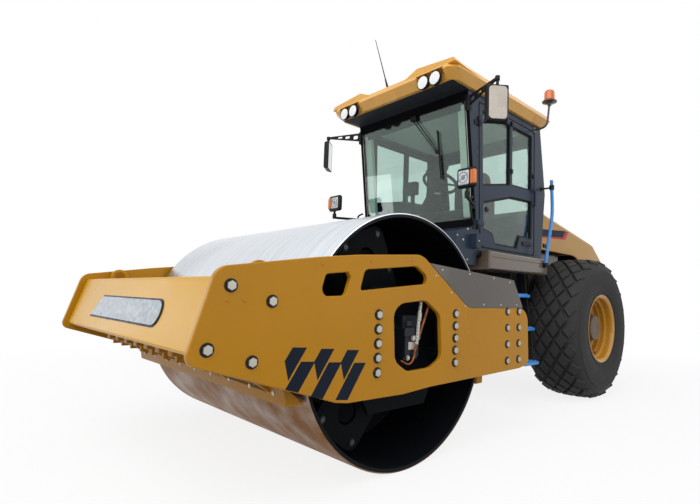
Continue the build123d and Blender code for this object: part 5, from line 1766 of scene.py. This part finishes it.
class ROLLER_OT_mirrors(bpy.types.Operator):
    """Door mirrors on pierced arms, headlamps on stems, and the wipers"""

    bl_idname = "roller.mirrors"
    bl_label = "Mirrors, Headlamps and Wipers"

    def execute(self, context):
        self.mirrors()
        self.headlamps()
        self.wipers()
        return {"FINISHED"}

    def mirrors(self):
        """Rounded housings with a silvered glass, and their arms."""
        housing = box("mirror_shell", (-0.027, -0.094, -0.154), (0.027, 0.094, 0.154))
        with editing(housing):
            pick(housing, lambda face: face.normal.x > 0.9)
            bpy.ops.transform.resize(value=(1, 0.88, 0.92))
        round_corners(housing, "X", 0.040, 6)
        bevelled(housing, 0.012, 4)
        back = box("mirror_back", (0.020, -0.072, -0.130), (0.0295, 0.072, 0.130))
        round_corners(back, "X", 0.030, 6)
        bevelled(back, 0.006, 3)
        bezel = [(y * 0.092, z * 0.152) for y, z in ((-1, -1), (1, -1), (1, 1), (-1, 1))]
        rim = plate("bezel", bezel, -0.0275, -0.024, "X", margin=0.010)
        glass = block("mirror_glass", (-0.0272, -0.084, -0.144), (-0.0262, 0.084, 0.144), 0.0004, 1)
        to_place = Matrix.Translation(MIRROR_PLACE) @ Matrix.Rotation(MIRROR_TURN, 4, "Z")
        for piece in (housing, back, rim, glass):
            piece.data.transform(to_place)
        dress(mirrored(self.mirror_arm()), "rear_frame", "black_plastic", stands_for=("mirrors",))
        dress(mirrored(back), "rear_frame", "grey_plastic")
        dress(mirrored(joined("mirror_shells", [housing, rim])), "rear_frame", "black_plastic")
        dress(mirrored(glass), "rear_frame", "silvered_glass")

    def mirror_arm(self):
        """Pierced arm that tapers outward, with its post, clamp and foot."""
        start, end = Vector((0.566, 0.690, 2.600)), Vector((0.715, 1.070, 2.600))
        length = (end - start).length
        tip = length + 0.012
        outline = ((0.0, 0.045), (tip, 0.118), (tip, 0.136), (0.02, 0.136), (0.0, 0.125))
        arm = plate("arm", outline, -0.007, 0.007)
        for along, middle, half in ((0.07, 0.096, 0.020), (0.17, 0.107, 0.014), (0.26, 0.115, 0.010)):
            hole = box("hole", (along - 0.028, -0.02, middle - half), (along + 0.028, 0.02, middle + half))
            cut(arm, round_corners(hole, "Y", 0.6 * half, 3))
        bevelled(arm, 0.002)
        heading = math.atan2(end.y - start.y, end.x - start.x)
        arm.data.transform(Matrix.Translation(start) @ Matrix.Rotation(heading, 4, "Z"))
        top = MIRROR_PLACE.z + 0.218
        parts = [
            arm,
            rod("post", (0.715, 1.070, 2.53), (0.715, 1.070, top), 0.012, 16),
            rod("clamp", (0.715, 1.070, 2.705), (0.715, 1.070, top), 0.019, 20),
            block("foot", (0.530, 0.672, 2.610), (0.592, 0.704, 2.745), 0.006),
            rod("swivel", (0.572, 0.700, 2.625), (0.572, 0.700, 2.742), 0.016, 20),
        ]
        return joined("mirror_arms", parts)

    def headlamps(self):
        """Rounded lamp housings with a white lens and an amber corner, on bent stems."""
        low = HEADLAMP_PLACE - Vector((0.030, 0.096, 0.082))
        high = HEADLAMP_PLACE + Vector((0.020, 0.088, 0.082))
        shell = block("headlamp_shell", low, high, 0.034, 5)
        face = high.x
        white = box(
            "headlamp_glass", (face - 0.014, low.y + 0.022, low.z + 0.024),
            (face + 0.006, high.y - 0.058, high.z - 0.024),
        )
        middle = Vector((face + 0.0035, (low.y + high.y - 0.036) / 2, HEADLAMP_PLACE.z))
        ring = turned(
            "lamp_ring", ((0.040, 0.0), (0.046, 0.0), (0.046, 0.005), (0.040, 0.005)), middle, "X", 36
        )
        bulb = turned(
            "lamp_bulb", ((0.0, 0.0), (0.020, 0.0), (0.018, 0.006), (0.0, 0.008)), middle, "X", 24
        )
        front, reach = middle + Vector((0.003, 0, 0)), Vector((0, 0.045, 0.03))
        bar = rod("lamp_bar", front - reach, front + reach, 0.003, 8)
        reflector = joined("lamp_rings", [ring, bulb, bar])
        amber = box(
            "turn_glass", (face - 0.026, high.y - 0.050, low.z + 0.024),
            (face + 0.005, high.y + 0.002, high.z - 0.024),
        )
        elbow = Vector((HEADLAMP_PLACE.x, HEADLAMP_PLACE.y, 1.815))
        stem = tube(
            "headlamp_stem",
            (HEADLAMP_PLACE - Vector((0, 0, 0.08)), elbow, (0.560, 0.730, 1.815), (0.445, 0.686, 1.815)),
            0.0125, 0.03, 14,
        )
        joint = rod("headlamp_joint", elbow - Vector((0, 0, 0.010)), elbow + Vector((0, 0, 0.040)), 0.020, 20)
        foot = block("headlamp_foot", (0.452, 0.668, 1.780), (0.480, 0.706, 1.850), 0.004)
        guard = tube(
            "pillar_loop",
            ((0.500, 0.705, 1.880), (0.560, 0.715, 1.850), (0.545, 0.722, 1.700), (0.470, 0.705, 1.640)),
            0.009, 0.05, 12,
        )
        black = mirrored(joined("headlamp_housings", [shell, stem, joint, foot, guard]))
        dress(black, "rear_frame", "black_plastic", stands_for=("headlamps",))
        dress(mirrored(bevelled(white, 0.020, 4)), "rear_frame", "lamp_glass")
        dress(mirrored(reflector), "rear_frame", "brushed_aluminium")
        dress(mirrored(bevelled(amber, 0.012, 4)), "rear_frame", "amber_lens")

    def wipers(self):
        """Two parallel wiper arms and an upright blade ahead of the windshield."""
        def before(y, z, gap):
            return (SCREEN_LOW.x + (z - SCREEN_LOW.z) * SCREEN_RAKE + gap, y, z)

        parts = [
            tube("arm", (before(0.060, 2.690, 0.026), before(0.330, 2.330, 0.026)), 0.0055, 0.01, 10),
            tube("arm", (before(0.095, 2.690, 0.026), before(0.350, 2.330, 0.026)), 0.0055, 0.01, 10),
            tube("spine", (before(0.350, 2.520, 0.018), before(0.365, 2.080, 0.018)), 0.0065, 0.01, 10),
            rod("knuckle", before(0.340, 2.330, 0.010), before(0.340, 2.330, 0.034), 0.020, 16),
            block("motor", (0.566, 0.040, 2.668), (0.600, 0.115, 2.712), 0.006),
        ]
        rubber = box("rubber", (SCREEN_LOW.x + 0.001, 0.352, 2.085), (SCREEN_LOW.x + 0.016, 0.356, 2.515))
        gear = joined("wiper_gear", parts + [raked(rubber)])
        dress(gear, "rear_frame", "black_plastic", stands_for=("wipers",))


# ---- inside the cab ------------------------------------------------------------------
GRIP_PLACE, GRIP_LEAN = Vector((0.095, 0.010, 2.185)), math.radians(-25)
GRIP_RADIUS, GRIP_STEPS, SPOKES = 0.172, 40, 3


class ROLLER_OT_interior(bpy.types.Operator):
    """Seat with padded cushions, steering wheel, column, display and side consoles"""

    bl_idname = "roller.interior"
    bl_label = "Interior"

    def execute(self, context):
        self.seat()
        self.controls()
        return {"FINISHED"}

    def cushion(self, name, low, high, puff):
        """One upholstered block, swollen in the middle and rounded at its seams."""
        piece = box(name, low, high)
        with editing(piece):
            bpy.ops.mesh.subdivide(number_cuts=7)
        centre, half = (Vector(low) + Vector(high)) / 2, (Vector(high) - Vector(low)) / 2
        for vertex in piece.data.vertices:
            at = [(vertex.co[axis] - centre[axis]) / half[axis] for axis in range(3)]
            for axis in range(3):
                u, v = (at[other] for other in range(3) if other != axis)
                swell = (1 - u * u) * (1 - v * v)
                edge = 1 - 0.10 * max(abs(u), abs(v)) ** 4
                vertex.co[axis] = centre[axis] + half[axis] * at[axis] * (0.9 * edge + puff * swell)
        return smooth(modified(piece, "SUBSURF", levels=2, render_levels=2), 60)

    def seat(self):
        """Cushion and back, base and arm rests, with side boxes and a control lever."""
        dress_node("seat_base", 0.02, "rear_frame", "black_plastic", segments=3)
        pad = self.cushion("seat_pad", (-0.44, -0.25, 1.800), (0.04, 0.25, 1.920), 0.10)
        back = self.cushion("seat_back", (-0.54, -0.24, 1.820), (-0.43, 0.24, 2.420), 0.10)
        for piece, nodes in ((pad, ("seat_cushions",)), (back, ())):
            dress(piece, "rear_frame", "seat_cloth", stands_for=nodes)
        rests = []
        for y in (-0.30, 0.30):
            rests.append(block("arm_rest", (-0.42, y - 0.035, 2.03), (-0.10, y + 0.035, 2.075), 0.018, 4))
            rests.append(block("arm_post", (-0.44, y - 0.02, 1.84), (-0.38, y + 0.02, 2.04), 0.008))
            rests.append(block("side_box", (-0.40, y - 0.10, 1.47), (0.02, y + 0.10, 1.86), 0.03, 4))
        rests.append(tube("control_lever", ((-0.02, 0.32, 1.85), (0.01, 0.32, 2.02)), 0.008, 0.01, 10))
        rests.append(rod("lever_knob", (0.008, 0.32, 2.00), (0.018, 0.32, 2.06), 0.020, 20, 0.014))
        dress(joined("arm_rests", rests), "rear_frame", "black_plastic")

    def controls(self):
        """Steering column, wheel with three spokes and a spinner, display glass and dial."""
        dress_node("steering_column", 0.012, "rear_frame", "black_plastic", segments=3)
        ring = [
            (GRIP_RADIUS * math.cos(turn), GRIP_RADIUS * math.sin(turn), 0)
            for turn in around(GRIP_STEPS)
        ]
        parts = [tube("ring", ring, 0.0165, 0.0, 14, cyclic=True)]
        parts.append(rod("shaft", (0, 0, -0.16), (0, 0, 0), 0.028, 20))
        for turn in around(SPOKES):
            reach = (0.160 * math.cos(turn), 0.160 * math.sin(turn), 0.0)
            parts.append(rod("spoke", (0, 0, -0.006), reach, 0.013, 12, 0.009))
        boss = (
            (0.0, -0.03), (0.040, -0.03), (0.045, -0.01), (0.045, 0.004), (0.036, 0.012), (0.0, 0.013),
        )
        parts.append(turned("boss", boss, (0, 0, 0), "Z", 32))
        parts.append(rod("spinner", (0.150, -0.07, 0.012), (0.150, -0.07, 0.05), 0.014, 16, 0.018))
        for piece in parts:
            piece.data.transform(Matrix.Translation(GRIP_PLACE) @ Matrix.Rotation(GRIP_LEAN, 4, "Y"))
        wheel = smooth(joined("wheel", parts), 40)
        dress(wheel, "rear_frame", "black_plastic", stands_for=("steering_wheel",))
        screen = box("display_glass", (0.2885, -0.226, 2.054), (0.2895, -0.114, 2.156))
        dress(bevelled(screen, 0.0004, 1), "rear_frame", "screen_glass")
        dial = ((0.0, 0.0), (0.032, 0.0), (0.032, 0.004), (0.028, 0.007), (0.0, 0.006))
        dials = turned("dial", dial, (0.24, 0.10, 2.03), "Z", 24)
        dress(dials, "rear_frame", "clear_lens")


# ---- hood ------------------------------------------------------------------------------
HOOD_SIDE = 0.600
BAND = ((-0.900, 1.785), (-1.594, 1.834), (-1.493, 1.730), (-0.900, 1.694))
SKIRT_EDGE = ((-2.238, 1.005), (-2.215, 1.140), (-2.150, 1.290), (-2.060, 1.415), (-1.940, 1.505),
              (-1.800, 1.555), (-1.700, 1.570), (-0.885, 1.570))
CREASE_AT, CREASE_SLOPE = Vector((-1.965, 1.759)), Vector((0.0591, 0.0614))


def hood_half_width(x, z):
    """Half width of the hood, which narrows behind and below its crease."""
    return HOOD_SIDE + min(0.0, (Vector((x, z)) - CREASE_AT).dot(CREASE_SLOPE))


class ROLLER_OT_hood(bpy.types.Operator):
    """Engine hood with its lip, band, latches and stepped louvres"""

    bl_idname = "roller.hood"
    bl_label = "Hood"

    def execute(self, context):
        dress_node("hood", 0.012, "hood", "hood_enamel", segments=3, angle=20)
        dress_node("hood_grille", 0.002, "hood", "grille_enamel", segments=2)
        path = [(x, hood_half_width(x, z) - 0.007, z) for x, z in SKIRT_EDGE]
        lip = mirrored(tube("hood_lip", path, 0.0075, 0.05, 12))
        dress(lip, "hood", "frame_enamel")
        self.band()
        latch = block("latch", (-1.02, HOOD_SIDE - 0.001, 1.59), (-0.95, HOOD_SIDE + 0.012, 1.63), 0.004)
        dress(mirrored(latch), "hood", "black_plastic")
        dress(self.screen_behind(), "hood", "shadow_plastic")
        return {"FINISHED"}

    def band(self):
        """Dark band with a red lower and rear edge."""
        red = [Vector(point) for point in BAND]
        dark = [
            red[0], red[1] + Vector((0.085, 0)), red[2] + Vector((0.060, 0.020)),
            red[3] + Vector((0, 0.014)),
        ]
        for name, outline, face, material in (
            ("band_red", red, 0.0006, "red_film"), ("band_dark", dark, 0.0011, "stripe_film"),
        ):
            piece = plate(name, outline, HOOD_SIDE - 0.002, HOOD_SIDE + face)
            dress(mirrored(piece), "hood", material)

    def screen_behind(self):
        """Dust screen behind the louvres, which follows their slope."""
        outer = ((-2.492, 1.650), (-2.838, 1.466), (-2.909, 1.368), (-2.909, 1.100))
        inner = [(x + 0.010, z - 0.008) for x, z in reversed(outer)]
        return plate("dust_screen", list(outer) + inner, -0.436, 0.436)


class ROLLER_OT_tail(bpy.types.Operator):
    """Tail lamps with their red and amber lenses"""

    bl_idname = "roller.tail"
    bl_label = "Tail Lamps"

    def execute(self, context):
        low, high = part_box("tail_lamps")
        x, y = low.x, (0.470, 0.570)
        housing = block("tail_housing", (x + 0.004, y[0], low.z), (high.x, y[1], high.z), 0.004)
        dress(mirrored(housing), "rear_frame", "black_plastic", stands_for=("tail_lamps",))
        for name, sides, material in (
            ("tail_red", (y[0] + 0.006, y[0] + 0.056), "red_lens"),
            ("tail_amber", (y[0] + 0.060, y[1] - 0.006), "amber_lens"),
        ):
            glass = box(name, (x, sides[0], low.z + 0.006), (x + 0.012, sides[1], high.z - 0.006))
            dress(mirrored(bevelled(glass, 0.005, 3)), "rear_frame", material)
        return {"FINISHED"}


STEPS = (
    ROLLER_OT_stage, ROLLER_OT_finish_nodes, ROLLER_OT_side_plates, ROLLER_OT_front_beam,
    ROLLER_OT_drum, ROLLER_OT_chassis, ROLLER_OT_wheels, ROLLER_OT_steps, ROLLER_OT_cab,
    ROLLER_OT_roof, ROLLER_OT_mirrors, ROLLER_OT_interior, ROLLER_OT_hood, ROLLER_OT_tail,
)


class ROLLER_PT_panel(bpy.types.Panel):
    """Lists the build steps and their settings"""

    bl_idname = "ROLLER_PT_panel"
    bl_label = "Road Roller"
    bl_space_type = "VIEW_3D"
    bl_region_type = "UI"
    bl_category = "Roller"

    def draw(self, context):
        for step in STEPS:
            self.layout.operator(step.bl_idname)
        for group in (context.scene.roller_colours, context.scene.roller_stage):
            for name in group.bl_rna.properties.keys():
                if name not in ("rna_type", "name"):
                    self.layout.prop(group, name)


CLASSES = (RollerColours, RollerStage, *STEPS, ROLLER_PT_panel)


def register():
    for kind in CLASSES:
        bpy.utils.register_class(kind)
    bpy.types.Scene.roller_colours = PointerProperty(type=RollerColours)
    bpy.types.Scene.roller_stage = PointerProperty(type=RollerStage)


def unregister():
    del bpy.types.Scene.roller_stage
    del bpy.types.Scene.roller_colours
    for kind in reversed(CLASSES):
        bpy.utils.unregister_class(kind)


def main():
    register()
    for step in STEPS:
        group, name = step.bl_idname.split(".")
        getattr(getattr(bpy.ops, group), name)()


if __name__ == "__main__":
    main()
